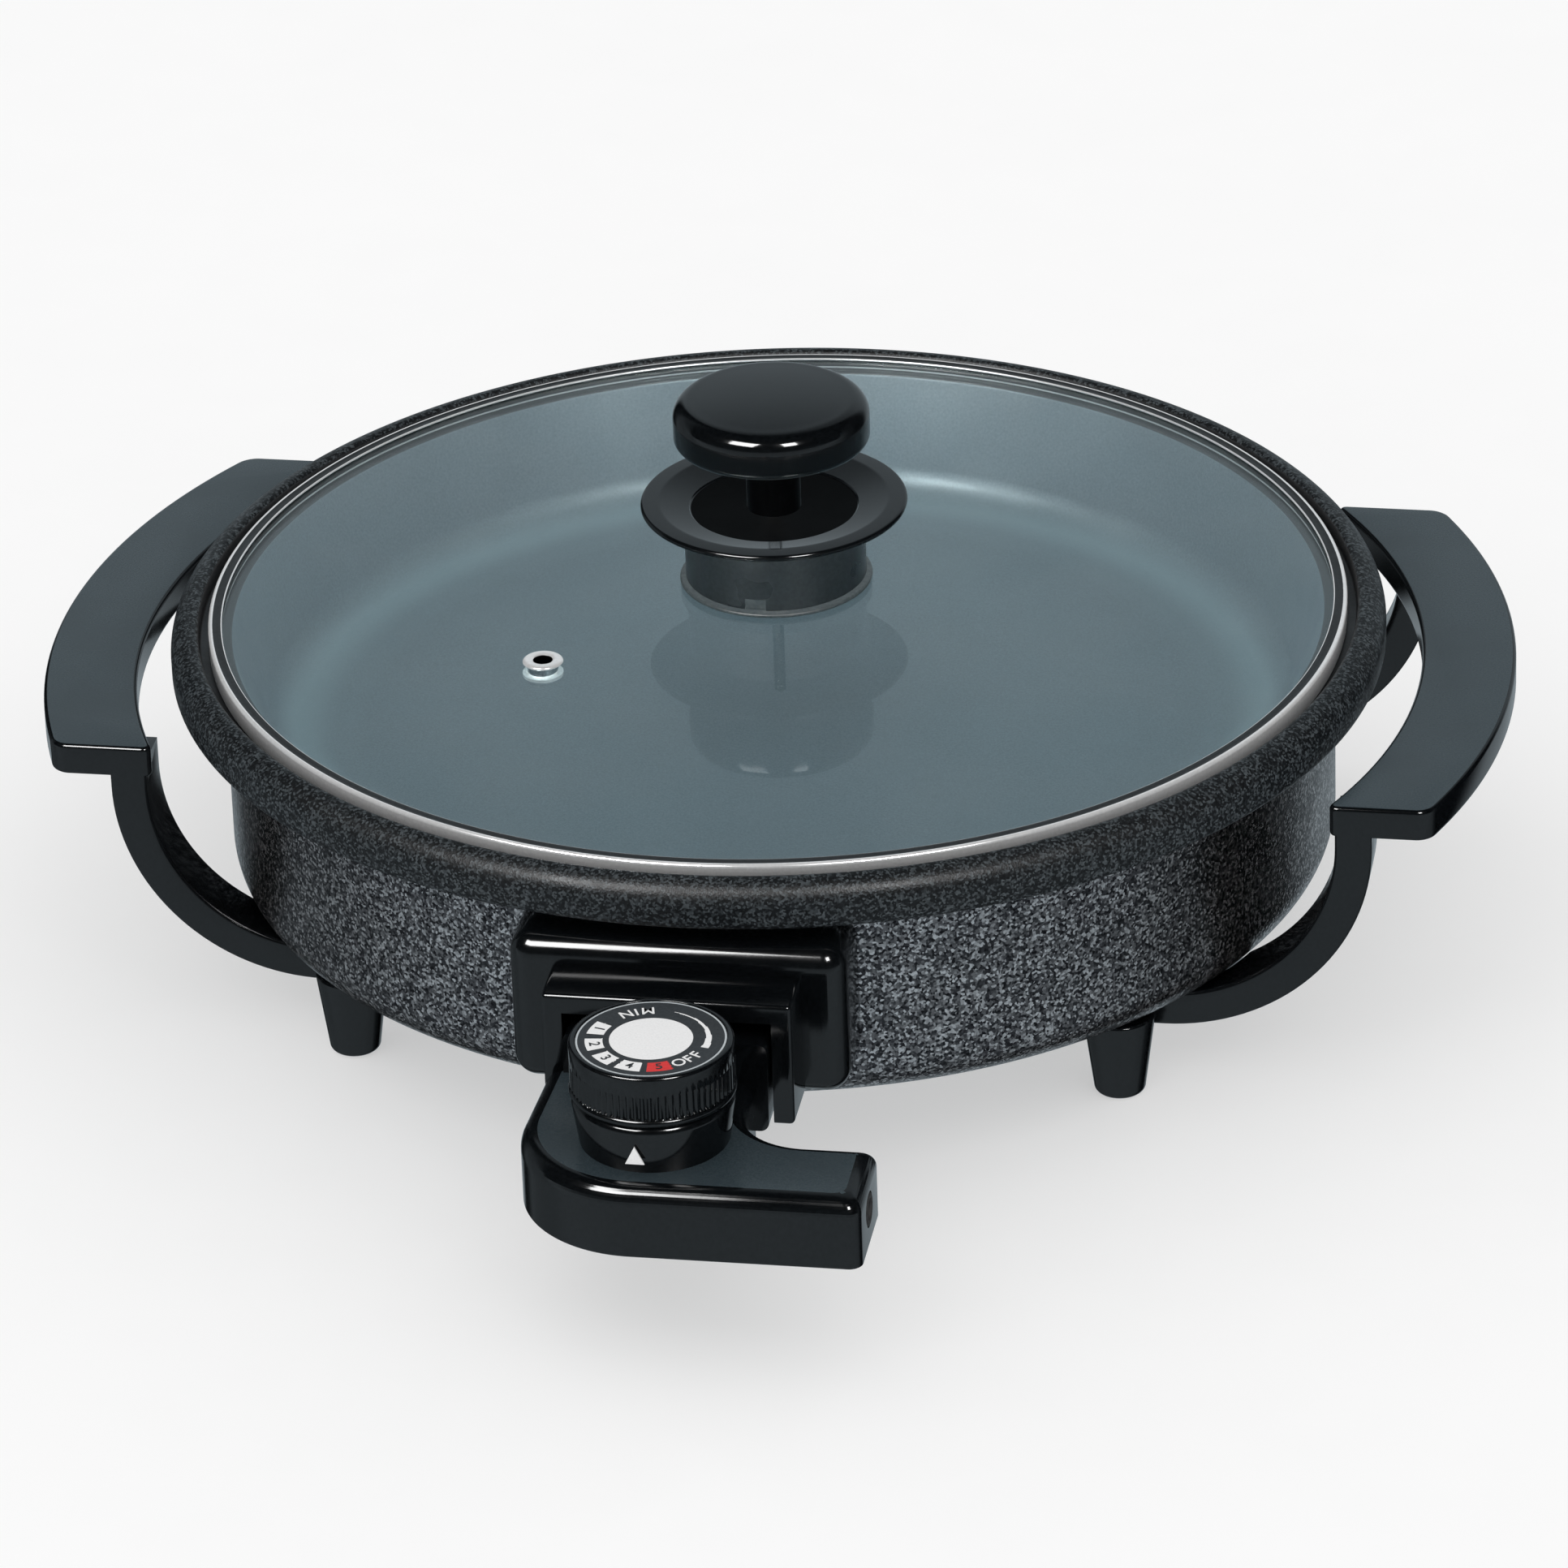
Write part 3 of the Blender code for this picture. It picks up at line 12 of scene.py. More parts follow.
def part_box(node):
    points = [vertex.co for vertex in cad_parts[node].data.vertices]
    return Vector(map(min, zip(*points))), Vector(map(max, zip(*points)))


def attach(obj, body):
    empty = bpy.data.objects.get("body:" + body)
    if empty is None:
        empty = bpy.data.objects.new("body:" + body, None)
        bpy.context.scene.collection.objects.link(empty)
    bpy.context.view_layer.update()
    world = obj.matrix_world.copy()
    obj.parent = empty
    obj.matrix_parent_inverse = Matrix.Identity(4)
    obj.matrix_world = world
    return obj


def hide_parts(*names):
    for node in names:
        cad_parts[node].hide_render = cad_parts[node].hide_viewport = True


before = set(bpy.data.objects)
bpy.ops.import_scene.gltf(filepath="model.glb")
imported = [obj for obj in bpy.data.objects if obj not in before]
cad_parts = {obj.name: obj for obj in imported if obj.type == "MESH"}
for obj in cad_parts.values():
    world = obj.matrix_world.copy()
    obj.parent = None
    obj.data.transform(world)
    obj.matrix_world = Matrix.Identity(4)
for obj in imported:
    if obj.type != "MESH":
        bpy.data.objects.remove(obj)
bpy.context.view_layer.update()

# Smoothness of round pieces, in steps per turn
RING = 256
ROUND = 128
SMALL = 48

# The clearances and sheet sizes of the frame
GAP = 0.0003
SLIDE_GAP = 0.0008
PAST = 0.001


def middle(node):
    """Centre of a CAD node's box."""
    low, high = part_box(node)
    return (low + high) / 2.0


AXIS_Y = middle("pan_body").y


def span(node):
    """Lowest and highest corners of a CAD node, measured from the pan's axis."""
    shift = Vector((0.0, AXIS_Y, 0.0))
    low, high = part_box(node)
    return low - shift, high - shift


def radius_of(node):
    """Radius of a round upright CAD node."""
    low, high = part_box(node)
    return (high.x - low.x) / 2.0


# The pan
RIM_RADIUS = radius_of("pan_body")
RIM_TOP = span("pan_body")[1].z
BASE_HEIGHT = span("pan_body")[0].z
COVER_RADIUS = radius_of("bottom_cover")
BASE_LIP = 0.029
WALL_RADIUS = COVER_RADIUS + GAP + BASE_LIP
WALL_THICK = 0.004
INNER_RADIUS = WALL_RADIUS - WALL_THICK
RIM_ROUND = 0.008
RIM_BOTTOM = RIM_TOP - 0.016
BASE_ROUND = 0.016
SEAT_HEIGHT = span("lid_rim_band")[0].z - GAP
AXIS_HEIGHT = middle("sensor_probe").z
FLOOR_TOP = AXIS_HEIGHT + 0.012
UNDER_FLOOR = FLOOR_TOP - 0.005
COVE_ROUND = 0.012
COOKING_LEAN = 0.009

# The lid
BAND_RADIUS = radius_of("lid_rim_band")
BAND_TOP = span("lid_rim_band")[1].z
BAND_DEPTH = 0.0046
BAND_SHEET = 0.0008
SEAT_EDGE = BAND_RADIUS + 0.0034
GLASS_EDGE = radius_of("lid_glass")
GLASS_TOP = BAND_TOP - BAND_SHEET - GAP
GLASS_THICK = 0.005
KNOB_BASE = span("lid_glass")[1].z
DOME_RADIUS = BAND_RADIUS - BAND_DEPTH - PAST
KNOB_HOLE = 0.0035
SCREW_BORE = 0.0023

# Connector block and thermostat
BLOCK_LOW, BLOCK_HIGH = span("connector_block")
BLOCK_HALF_WIDTH = BLOCK_HIGH.x
BLOCK_TOP = BLOCK_HIGH.z
HOOD_FRONT = BLOCK_LOW.y
BLOCK_FRONT = HOOD_FRONT + 0.018
HEAD_BACK = BLOCK_FRONT + 0.008 - SLIDE_GAP
CASE_LOW, CASE_HIGH = span("thermostat_case")
CASE_FRONT = CASE_LOW.y
CASE_BOTTOM = CASE_LOW.z
HEAD_HALF_WIDTH = 0.0325
HEAD_BOTTOM = AXIS_HEIGHT - 0.016
HEAD_TOP = AXIS_HEIGHT + 0.015
CASE_DEPTH = 0.0705
CASE_HEIGHT = 0.024
CASE_THROAT_X = 0.028
HEAD_FRONT = CASE_FRONT + CASE_DEPTH
CASE_TOP = CASE_BOTTOM + CASE_HEIGHT
CASE_WALL = 0.0025
CASE_END = CASE_HIGH.x
CASE_ROOF = CASE_TOP - 0.00325
HOOD_HALF_WIDTH = HEAD_HALF_WIDTH + SLIDE_GAP + 0.0065
PIN_SPREAD = middle("terminal_pin_right").x
PROBE_RADIUS = 0.004

# Dial
DIAL_X = middle("dial_knob").x
DIAL_Y = middle("dial_knob").y - AXIS_Y
DIAL_RADIUS = radius_of("dial_knob")
DIAL_LOW = span("dial_knob")[0].z
DIAL_HIGH = span("dial_knob")[1].z
COLLAR_TOP = DIAL_LOW - GAP
COLLAR_RADIUS = DIAL_RADIUS - 2.0 * GAP
COLLAR_FOOT = COLLAR_RADIUS - 0.002
SPINDLE_HOLE = 0.0033
FACE_RADIUS = radius_of("dial_face_plate")

# Handles and feet
GRIP_REACH = span("handle_right")[1].x
GRIP_TOP = span("handle_right")[1].z
GRIP_FRONT = -span("handle_right")[0].y
GRIP_REAR = span("handle_right")[1].y
GRIP_WIDTH = 0.031
GRIP_THICK = 0.011
ARM_WIDTH = 0.020
ARM_THICK = 0.012
LUG_LOW = span("handle_right")[0].z
LUG_TOP = LUG_LOW + ARM_THICK
ARM_TOP = GRIP_TOP - GRIP_THICK / 2.0
ARM_BEND = ARM_TOP - LUG_LOW - 0.0098
ARM_CENTRE = (GRIP_REACH - 0.037 - ARM_BEND, LUG_LOW + ARM_BEND)


# Shaping

def arc(centre, radius, start, end, steps):
    """Points on an arc in a plane, both ends included; the angles are in degrees."""
    points = []
    for step in range(steps + 1):
        angle = math.radians(start + (end - start) * step / steps)
        points.append((centre[0] + radius * math.cos(angle), centre[1] + radius * math.sin(angle)))
    return points


def turned(profile, steps, centre=(0.0, 0.0)):
    """Spin a (radius, height) profile about an upright axis, as a solid or as a ring."""
    made = bmesh.new()
    verts = [made.verts.new((centre[0] + radius, centre[1], height)) for radius, height in profile]
    pairs = list(zip(verts, verts[1:]))
    if profile[0][0] > 0.0:
        pairs.append((verts[-1], verts[0]))
    edges = [made.edges.new(pair) for pair in pairs]
    bmesh.ops.spin(made, geom=verts + edges, cent=(*centre, 0.0), axis=(0.0, 0.0, 1.0),
                   angle=math.tau, steps=steps, use_merge=True)
    bmesh.ops.remove_doubles(made, verts=made.verts[:], dist=1e-6)
    return made


def prism(outline, low, high):
    """Extrude an (x, y) outline from one height to another."""
    made = bmesh.new()
    face = made.faces.new([made.verts.new((x, y, low)) for x, y in outline])
    grown = bmesh.ops.extrude_face_region(made, geom=[face])
    top = [part for part in grown["geom"] if isinstance(part, bmesh.types.BMVert)]
    bmesh.ops.translate(made, verts=top, vec=(0.0, 0.0, high - low))
    return made


def lofted(levels):
    """A shape through outlines with as many points each, at rising heights.

    The extrusion leaves a stray face inside at every level between the two ends.
    """
    outline, height = levels[0]
    made = bmesh.new()
    face = made.faces.new([made.verts.new((x, y, height)) for x, y in outline])
    for outline, height in levels[1:]:
        grown = bmesh.ops.extrude_face_region(made, geom=[face])["geom"]
        face = next(part for part in grown if isinstance(part, bmesh.types.BMFace))
        for vert, (x, y) in zip(face.verts, outline):
            vert.co = (x, y, height)
    return made


def block(low, high):
    """A rectangular block between two corners."""
    made = bmesh.new()
    bmesh.ops.create_cube(made, size=1.0)
    bmesh.ops.scale(made, vec=Vector(high) - Vector(low), verts=made.verts[:])
    bmesh.ops.translate(made, vec=(Vector(low) + Vector(high)) / 2.0, verts=made.verts[:])
    return made


def round_edges(made, width, steps, chosen):
    """Round the edges that the given test picks."""
    edges = [edge for edge in made.edges if chosen(edge)]
    bmesh.ops.bevel(made, geom=edges, offset=width, offset_type="OFFSET", segments=steps, profile=0.5,
                    affect="EDGES", clamp_overlap=True, material=-1)
    return made


def level(edge):
    """Whether an edge lies in one flat end of an extruded shape."""
    return abs(edge.verts[0].co.z - edge.verts[1].co.z) < GAP


def rotated(made, angle, axis):
    """Turn a shape about one of the world axes."""
    turn = Matrix.Rotation(angle, 3, axis)
    bmesh.ops.rotate(made, verts=made.verts[:], cent=(0.0, 0.0, 0.0), matrix=turn)
    return made


def moved(made, x=0.0, y=0.0, z=0.0):
    """Shift a shape."""
    bmesh.ops.translate(made, verts=made.verts[:], vec=(x, y, z))
    return made


def rod(radius, low, high, steps, centre=(0.0, 0.0)):
    """An upright round bar."""
    return turned([(0.0, low), (radius, low), (radius, high), (0.0, high)], steps, centre)


def laid(made, x, z):
    """Lay an upright turned piece along Y, its top pointing to -Y."""
    return moved(rotated(made, math.pi / 2, "X"), x=x, z=z)


def bore(radius, back, front, x, z=AXIS_HEIGHT, steps=SMALL):
    """A round bar along Y, from its back end to its front end."""
    return laid(rod(radius, -back, -front, steps), x, z)


def add_object(name, data):
    """Put a new object in the scene."""
    item = bpy.data.objects.new(name, data)
    bpy.context.scene.collection.objects.link(item)
    return item


def scratch(shape):
    """A throwaway object that holds a shape for a Boolean step."""
    bmesh.ops.recalc_face_normals(shape, faces=shape.faces[:])
    mesh = bpy.data.meshes.new("scratch")
    shape.to_mesh(mesh)
    shape.free()
    return add_object("scratch", mesh)


def merged(shapes):
    """Put several separate shapes into one bmesh."""
    whole = bmesh.new()
    for shape in shapes:
        item = scratch(shape)
        whole.from_mesh(item.data)
        drop([item])
    return whole


def drop(items):
    """Delete throwaway objects with their meshes."""
    for item in items:
        mesh = item.data
        bpy.data.objects.remove(item, do_unlink=True)
        bpy.data.meshes.remove(mesh)


def worked(base, *steps):
    """Join shapes to a base or cut them from it, in order; each step is (operation, shapes)."""
    item = scratch(base)
    helpers = []
    for operation, shapes in steps:
        helper = scratch(merged(shapes))
        step = item.modifiers.new("step", "BOOLEAN")
        step.operation = "UNION" if operation == "join" else "DIFFERENCE"
        step.solver = "EXACT"
        step.object = helper
        helpers.append(helper)
    whole = bmesh.new()
    whole.from_object(item, bpy.context.evaluated_depsgraph_get())
    drop([item] + helpers)
    return whole


def coat_faces(shape, index, chosen):
    """Give the faces that a test picks another of the piece's materials."""
    for face in shape.faces:
        if chosen(face, face.calc_center_median()):
            face.material_index = index
    return shape


def flat_top(height):
    """A test for the flat upward faces at a height."""
    return lambda face, centre: abs(face.normal.z) > 0.99 and abs(centre.z - height) < GAP


def piece(name, shape, finishes, body, slot, *nodes, sharp=32.0):
    """Make a finished piece: clean mesh, materials, its body and the CAD nodes it stands for, which it hides; the
    slot is not used.
    """
    bmesh.ops.remove_doubles(shape, verts=shape.verts[:], dist=2e-6)
    bmesh.ops.recalc_face_normals(shape, faces=shape.faces[:])
    bmesh.ops.translate(shape, verts=shape.verts[:], vec=(0.0, AXIS_Y, 0.0))
    mesh = bpy.data.meshes.new(name)
    shape.to_mesh(mesh)
    shape.free()
    for finish in finishes:
        mesh.materials.append(finish)
    mesh.shade_smooth()
    mesh.set_sharp_from_angle(angle=math.radians(sharp))
    item = add_object(name, mesh)
    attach(item, body)
    if nodes:
        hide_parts(*nodes)
    return item


# Finishes

def new_group(name, inputs, outputs):
    """An empty shader node group with named sockets; returns its tree, input node and output node."""
    tree = bpy.data.node_groups.new(name, "ShaderNodeTree")
    for label, kind in inputs:
        tree.interface.new_socket(label, in_out="INPUT", socket_type=kind)
    for label, kind in outputs:
        tree.interface.new_socket(label, in_out="OUTPUT", socket_type=kind)
    return tree, tree.nodes.new("NodeGroupInput"), tree.nodes.new("NodeGroupOutput")


PATTERN_INPUTS = (("Vector", "NodeSocketVector"), ("Scale", "NodeSocketFloat"))
PATTERN_OUTPUTS = (("Mask", "NodeSocketFloat"), ("Wear", "NodeSocketFloat"), ("Height", "NodeSocketFloat"))
WEAR_SCALE = 38.0
# Width of the painted highlight ring in the pan's inner coating
PAINTED_HIGHLIGHT_WIDTH = 0.045


def add(tree, kind, inputs=None, **settings):
    """Add a shader node; each input is given a value or linked to another node's output."""
    made = tree.nodes.new("ShaderNode" + kind)
    for name, value in settings.items():
        setattr(made, name, value)
    for label, value in (inputs or {}).items():
        if isinstance(value, bpy.types.NodeSocket):
            tree.links.new(value, made.inputs[label])
        else:
            made.inputs[label].default_value = value
    return made


def stretch(tree, value, low, high):
    """Spread a value between two limits over the whole range from 0 to 1."""
    return add(tree, "MapRange", {"From Min": low, "From Max": high, "Value": value}).outputs["Result"]


def noise(tree, vector, scale, detail):
    """Soft noise; the scale is a number or a socket."""
    return add(tree, "TexNoise", {"Detail": detail, "Vector": vector, "Scale": scale}).outputs["Fac"]


def grain_group():
    """Fine even grain of a moulded or rolled surface, with broad handling marks."""
    tree, given, out = new_group("surface_grain", PATTERN_INPUTS, PATTERN_OUTPUTS)
    fine = noise(tree, given.outputs["Vector"], given.outputs["Scale"], 5.0)
    broad = noise(tree, given.outputs["Vector"], WEAR_SCALE, 3.0)
    tree.links.new(stretch(tree, fine, 0.32, 0.68), out.inputs["Mask"])
    tree.links.new(stretch(tree, broad, 0.35, 0.70), out.inputs["Wear"])
    tree.links.new(fine, out.inputs["Height"])
    return tree


def chips_group():
    """Hard-edged random chips, as in a granite-effect coating."""
    tree, given, out = new_group("granite_chips", PATTERN_INPUTS, PATTERN_OUTPUTS)
    cells = add(tree, "TexVoronoi", {"Vector": given.outputs["Vector"], "Scale": given.outputs["Scale"]})
    apart = add(tree, "SeparateColor", {"Color": cells.outputs["Color"]})
    broad = noise(tree, given.outputs["Vector"], WEAR_SCALE, 3.0)
    tree.links.new(apart.outputs["Red"], out.inputs["Mask"])
    tree.links.new(stretch(tree, broad, 0.35, 0.70), out.inputs["Wear"])
    tree.links.new(cells.outputs["Distance"], out.inputs["Height"])
    return tree


GRAIN = grain_group()
CHIPS = chips_group()


def finish(name, colours, scale, roughness, relief=0.0, pattern=GRAIN, **plain):
    """A Principled material whose colour, gloss and surface follow one pattern."""
    made = bpy.data.materials.new(name)
    made.use_nodes = True
    tree = made.node_tree
    shader = tree.nodes["Principled BSDF"]
    place = add(tree, "TexCoord").outputs["Object"]
    field = add(tree, "Group", {"Scale": scale, "Vector": place}, node_tree=pattern)
    ramp = add(tree, "ValToRGB", {"Fac": field.outputs["Mask"]})
    stops = ramp.color_ramp.elements
    while len(stops) < len(colours):
        stops.new(0.5)
    for number, colour in enumerate(colours):
        stops[number].position = number / (len(colours) - 1)
        stops[number].color = (*colour, 1.0)
    tree.links.new(ramp.outputs["Color"], shader.inputs["Base Color"])
    gloss = add(tree, "MapRange", {"To Min": roughness[0], "To Max": roughness[1], "Value": field.outputs["Wear"]})
    tree.links.new(gloss.outputs["Result"], shader.inputs["Roughness"])
    if relief:
        bump = add(tree, "Bump", {"Distance": relief, "Height": field.outputs["Height"]})
        tree.links.new(bump.outputs["Normal"], shader.inputs["Normal"])
    for label, value in plain.items():
        shader.inputs[label.replace("_", " ")].default_value = value
    return made


def grey(*shades):
    """Colours with equal red, green and blue."""
    return [(shade, shade, shade) for shade in shades]


def cove_painted_highlight(made):
    """Paint a highlight into a pan's inner coating: a lighter soft ring where the floor turns up into the wall."""
    tree = made.node_tree
    coat = tree.nodes["Principled BSDF"].inputs["Base Color"]
    flat = add(tree, "Mapping", {"Location": (0.0, -AXIS_Y, 0.0), "Scale": (1.0, 1.0, 0.0),
                                 "Vector": add(tree, "TexCoord").outputs["Object"]})
    reach = add(tree, "VectorMath", {0: flat.outputs["Vector"]}, operation="LENGTH").outputs["Value"]
    ring = add(tree, "ValToRGB", {"Fac": stretch(tree, reach, INNER_RADIUS - PAINTED_HIGHLIGHT_WIDTH, INNER_RADIUS)})
    ring.color_ramp.interpolation = "EASE"
    stops = ring.color_ramp.elements
    for position, shade in ((0.25, 0.10), (0.55, 0.55), (0.80, 0.0)):
        stops.new(position).color = (shade, shade, shade, 1.0)
    stops[0].color = stops[-1].color = (0.0, 0.0, 0.0, 1.0)
    blend = add(tree, "Mix", {"B": (0.26, 0.34, 0.37, 1.0), "Factor": ring.outputs["Color"],
                              "A": coat.links[0].from_socket}, data_type="RGBA")
    tree.links.new(blend.outputs["Result"], coat)
    return made


def lid_pane_finish():
    """Clear tempered glass that lets light straight through to what lies under it."""
    made = finish("lid_glass_clear", [(0.86, 0.94, 0.95), (0.93, 0.98, 0.98)], 20.0, (0.0, 0.03),
                  Transmission_Weight=1.0, IOR=1.45)
    tree = made.node_tree
    shader = tree.nodes["Principled BSDF"].outputs["BSDF"]
    clear = add(tree, "BsdfTransparent", {"Color": (0.88, 0.94, 0.95, 1.0)}).outputs["BSDF"]
    path = add(tree, "LightPath").outputs
    either = add(tree, "Math", {0: path["Is Shadow Ray"], 1: path["Is Diffuse Ray"]}, operation="MAXIMUM")
    mix = add(tree, "MixShader", {"Fac": either.outputs["Value"], 1: shader, 2: clear})
    tree.links.new(mix.outputs["Shader"], tree.nodes["Material Output"].inputs["Surface"])
    return made


PHENOLIC = finish("phenolic_gloss", [(0.0015, 0.0020, 0.0025), (0.004, 0.005, 0.006)], 900.0, (0.08, 0.16),
                  relief=0.000003)
PHENOLIC_SATIN = finish("phenolic_satin", [(0.014, 0.020, 0.023), (0.026, 0.034, 0.038)], 700.0, (0.26, 0.38),
                        relief=0.00001)
# Lighter blue-grey copy of the phenolic for flat upward faces: a painted sheen standing for the light these tops
# reflect
PHENOLIC_PAINTED_SHEEN = finish("phenolic_painted_sheen", [(0.026, 0.040, 0.048), (0.042, 0.058, 0.067)], 1600.0, (0.22, 0.32),
                      relief=0.000006)
# Near-black copy of the phenolic with almost no reflection: painted shade for recesses and undersides
PHENOLIC_PAINTED_SHADE = finish("phenolic_painted_shade", [(0.0006, 0.0007, 0.0008), (0.0015, 0.0016, 0.002)], 900.0, (0.4, 0.5),
                       relief=0.000003, Specular_IOR_Level=0.02)
GRANITE_WALL = finish("granite_wall", [(0.012, 0.012, 0.014), (0.06, 0.06, 0.065), (0.20, 0.195, 0.20),
                                       (0.66, 0.65, 0.66)], 1150.0, (0.22, 0.30), relief=0.00005,
                      pattern=CHIPS, Metallic=0.94)
GRANITE_RIM = finish("granite_rim", [(0.003, 0.004, 0.005), (0.008, 0.010, 0.012), (0.065, 0.078, 0.086)],
                     1400.0, (0.36, 0.48), relief=0.00005, pattern=CHIPS, Specular_IOR_Level=0.22)
# Near-black paint standing for shade: on the casting's lid seat and on the lid band's flat lip
SEAT_PAINTED_SHADE = finish("seat_painted_shade", [(0.006, 0.007, 0.008), (0.016, 0.018, 0.020)], 800.0, (0.35, 0.5),
                    relief=0.00001)
# The cooking coating carries a painted highlight: a lighter ring near the cove
NONSTICK = cove_painted_highlight(finish("nonstick_coating", [(0.092, 0.122, 0.145), (0.136, 0.172, 0.196)], 1300.0,
                            (0.34, 0.44), relief=0.00002))
STEEL = finish("steel_polished", grey(0.70, 0.86), 600.0, (0.10, 0.20), relief=0.000002, Metallic=1.0)
BAND_STEEL = finish("band_steel", grey(0.88, 0.98), 900.0, (0.16, 0.26), relief=0.000002, Metallic=0.45)
SHEET = finish("sheet_aluminised", grey(0.36, 0.52, 0.62), 240.0, (0.34, 0.48), relief=0.00001,
               pattern=CHIPS, Metallic=1.0)
ZINC = finish("zinc_screws", [(0.52, 0.53, 0.50), (0.70, 0.70, 0.66)], 1400.0, (0.28, 0.42),
              relief=0.00001, Metallic=1.0)
BRASS = finish("brass_nickelled", [(0.66, 0.60, 0.42), (0.80, 0.75, 0.58)], 900.0, (0.22, 0.36),
               relief=0.000005, Metallic=1.0)
CERAMIC = finish("ceramic_matt", [(0.74, 0.71, 0.63), (0.84, 0.82, 0.75)], 500.0, (0.48, 0.62), relief=0.00002)
RUBBER = finish("rubber_matt", grey(0.014, 0.030), 1100.0, (0.62, 0.78), relief=0.00003)
SEAL = finish("seal_grey", [(0.040, 0.055, 0.060), (0.075, 0.095, 0.10)], 700.0, (0.35, 0.5), relief=0.00001)
SHEATH = finish("element_sheath_dull", [(0.14, 0.13, 0.12), (0.26, 0.25, 0.24)], 700.0, (0.42, 0.58),
                relief=0.00002, Metallic=1.0)
BIMETAL = finish("bimetal_strip", [(0.52, 0.35, 0.22), (0.66, 0.47, 0.32)], 800.0, (0.3, 0.42),
                 relief=0.000005, Metallic=1.0)
DIAL_DARK = finish("dial_ground", [(0.018, 0.022, 0.026), (0.032, 0.037, 0.042)], 1200.0, (0.34, 0.44),
                   relief=0.000005)
PRINT_WHITE = finish("print_white", grey(0.80, 0.88), 1500.0, (0.34, 0.46), relief=0.000004)
PRINT_GREY = finish("print_grey", [(0.42, 0.46, 0.48), (0.55, 0.59, 0.61)], 1500.0, (0.34, 0.46),
                    relief=0.000004)
PRINT_RED = finish("print_red", [(0.62, 0.012, 0.012), (0.76, 0.022, 0.020)], 1500.0, (0.34, 0.46),
                   relief=0.000004)
GLASS = lid_pane_finish()


# The pan

def casting_profile():
    """Section of the casting, from the middle of the cooking floor round to its underside."""
    wall_foot = INNER_RADIUS - COOKING_LEAN
    cove_centre = (wall_foot - COVE_ROUND, FLOOR_TOP + COVE_ROUND)
    rim_centre = (RIM_RADIUS - RIM_ROUND, RIM_TOP - RIM_ROUND)
    base_centre = (WALL_RADIUS - BASE_ROUND, BASE_HEIGHT + BASE_ROUND)
    small = PAST
    roll = 3.0 * PAST
    profile = [(0.0, FLOOR_TOP), (0.10, FLOOR_TOP)]
    profile += arc(cove_centre, COVE_ROUND, -90.0, -10.0, 14)
    profile += arc((INNER_RADIUS + small, SEAT_HEIGHT - small), small, 170.0, 90.0, 4)
    profile += arc((SEAT_EDGE - small, SEAT_HEIGHT + small), small, -90.0, 0.0, 4)
    profile += [(SEAT_EDGE, RIM_TOP - 2.0 * small)]
    profile += arc((SEAT_EDGE + 2.0 * small, RIM_TOP - 2.0 * small), 2.0 * small, 180.0, 90.0, 6)
    profile += arc(rim_centre, RIM_ROUND, 84.0, 0.0, 18)
    profile += arc((RIM_RADIUS - roll, RIM_BOTTOM + roll), roll, 0.0, -90.0, 8)
    profile += arc((WALL_RADIUS + roll, RIM_BOTTOM - roll), roll, 90.0, 180.0, 8)
    profile += arc(base_centre, BASE_ROUND, 0.0, -90.0, 18)
    profile += [(COVER_RADIUS + GAP, BASE_HEIGHT), (COVER_RADIUS + GAP, BASE_HEIGHT + WALL_THICK)]
    profile += arc(base_centre, BASE_ROUND - WALL_THICK, -90.0, 0.0, 8)
    profile += [(INNER_RADIUS, RIM_BOTTOM - WALL_THICK)]
    profile += [(wall_foot + WALL_THICK / 2.0, UNDER_FLOOR + COVE_ROUND)]
    profile += [(wall_foot - COVE_ROUND, UNDER_FLOOR), (0.0, UNDER_FLOOR)]
    return profile


def coat_of(face_centre):
    """Which coat a face of the casting has: 0 wall, 1 rim, 2 cooking surface, 3 lid seat, painted black as shade
    in the groove under the lid's band.
    """
    reach = math.hypot(face_centre.x, face_centre.y)
    height = face_centre.z
    if height > FLOOR_TOP - GAP and reach < INNER_RADIUS + GAP:
        return 2
    if height > SEAT_HEIGHT - PAST and reach < SEAT_EDGE + GAP:
        return 3
    return 1 if reach > WALL_RADIUS + PAST / 2.0 else 0


def make_casting():
    """The cast pan, coated inside, on its wall and on its rim."""
    front = -WALL_RADIUS - 2.0 * PAST
    behind = PROBE_RADIUS - INNER_RADIUS
    holes = [bore(PROBE_RADIUS + SLIDE_GAP, behind, front, 0.0)]
    bead = radius_of("terminal_bead_left") + GAP
    holes += [bore(bead, behind, front, side * PIN_SPREAD) for side in (-1.0, 1.0)]
    shape = worked(turned(casting_profile(), RING), ("cut", holes))
    # Coat 3, the lid seat, is painted shade
    for face in shape.faces:
        face.material_index = coat_of(face.calc_center_median())
    piece("pan_casting", shape, [GRANITE_WALL, GRANITE_RIM, NONSTICK, SEAT_PAINTED_SHADE], "pan", "granite_coating",
          "pan_body", sharp=50.0)


def make_cover():
    """Base sheet with two pressed rings."""
    thick = span("bottom_cover")[1].z - BASE_HEIGHT
    top = BASE_HEIGHT + thick
    lower, upper = [(0.0, BASE_HEIGHT)], [(0.0, top)]
    for reach in (0.055, 0.105):
        for offset, rise in ((-4.0, 0.0), (-2.0, 0.8), (0.0, 1.2), (2.0, 0.8), (4.0, 0.0)):
            lower.append((reach + offset * PAST, BASE_HEIGHT + rise * PAST))
            upper.append((reach + offset * PAST, top + rise * PAST))
    lower.append((COVER_RADIUS, BASE_HEIGHT))
    upper.append((COVER_RADIUS, top))
    piece("base_sheet", turned(lower + upper[::-1], RING), [SHEET], "pan", "aluminised_sheet", "bottom_cover",
          sharp=40.0)


# The lid

def glass_height(radius):
    """Height of the glass's upper face: a shallow dome, highest on the axis."""
    return GLASS_TOP + (KNOB_BASE - GLASS_TOP) * (1.0 - (radius / DOME_RADIUS) ** 2)


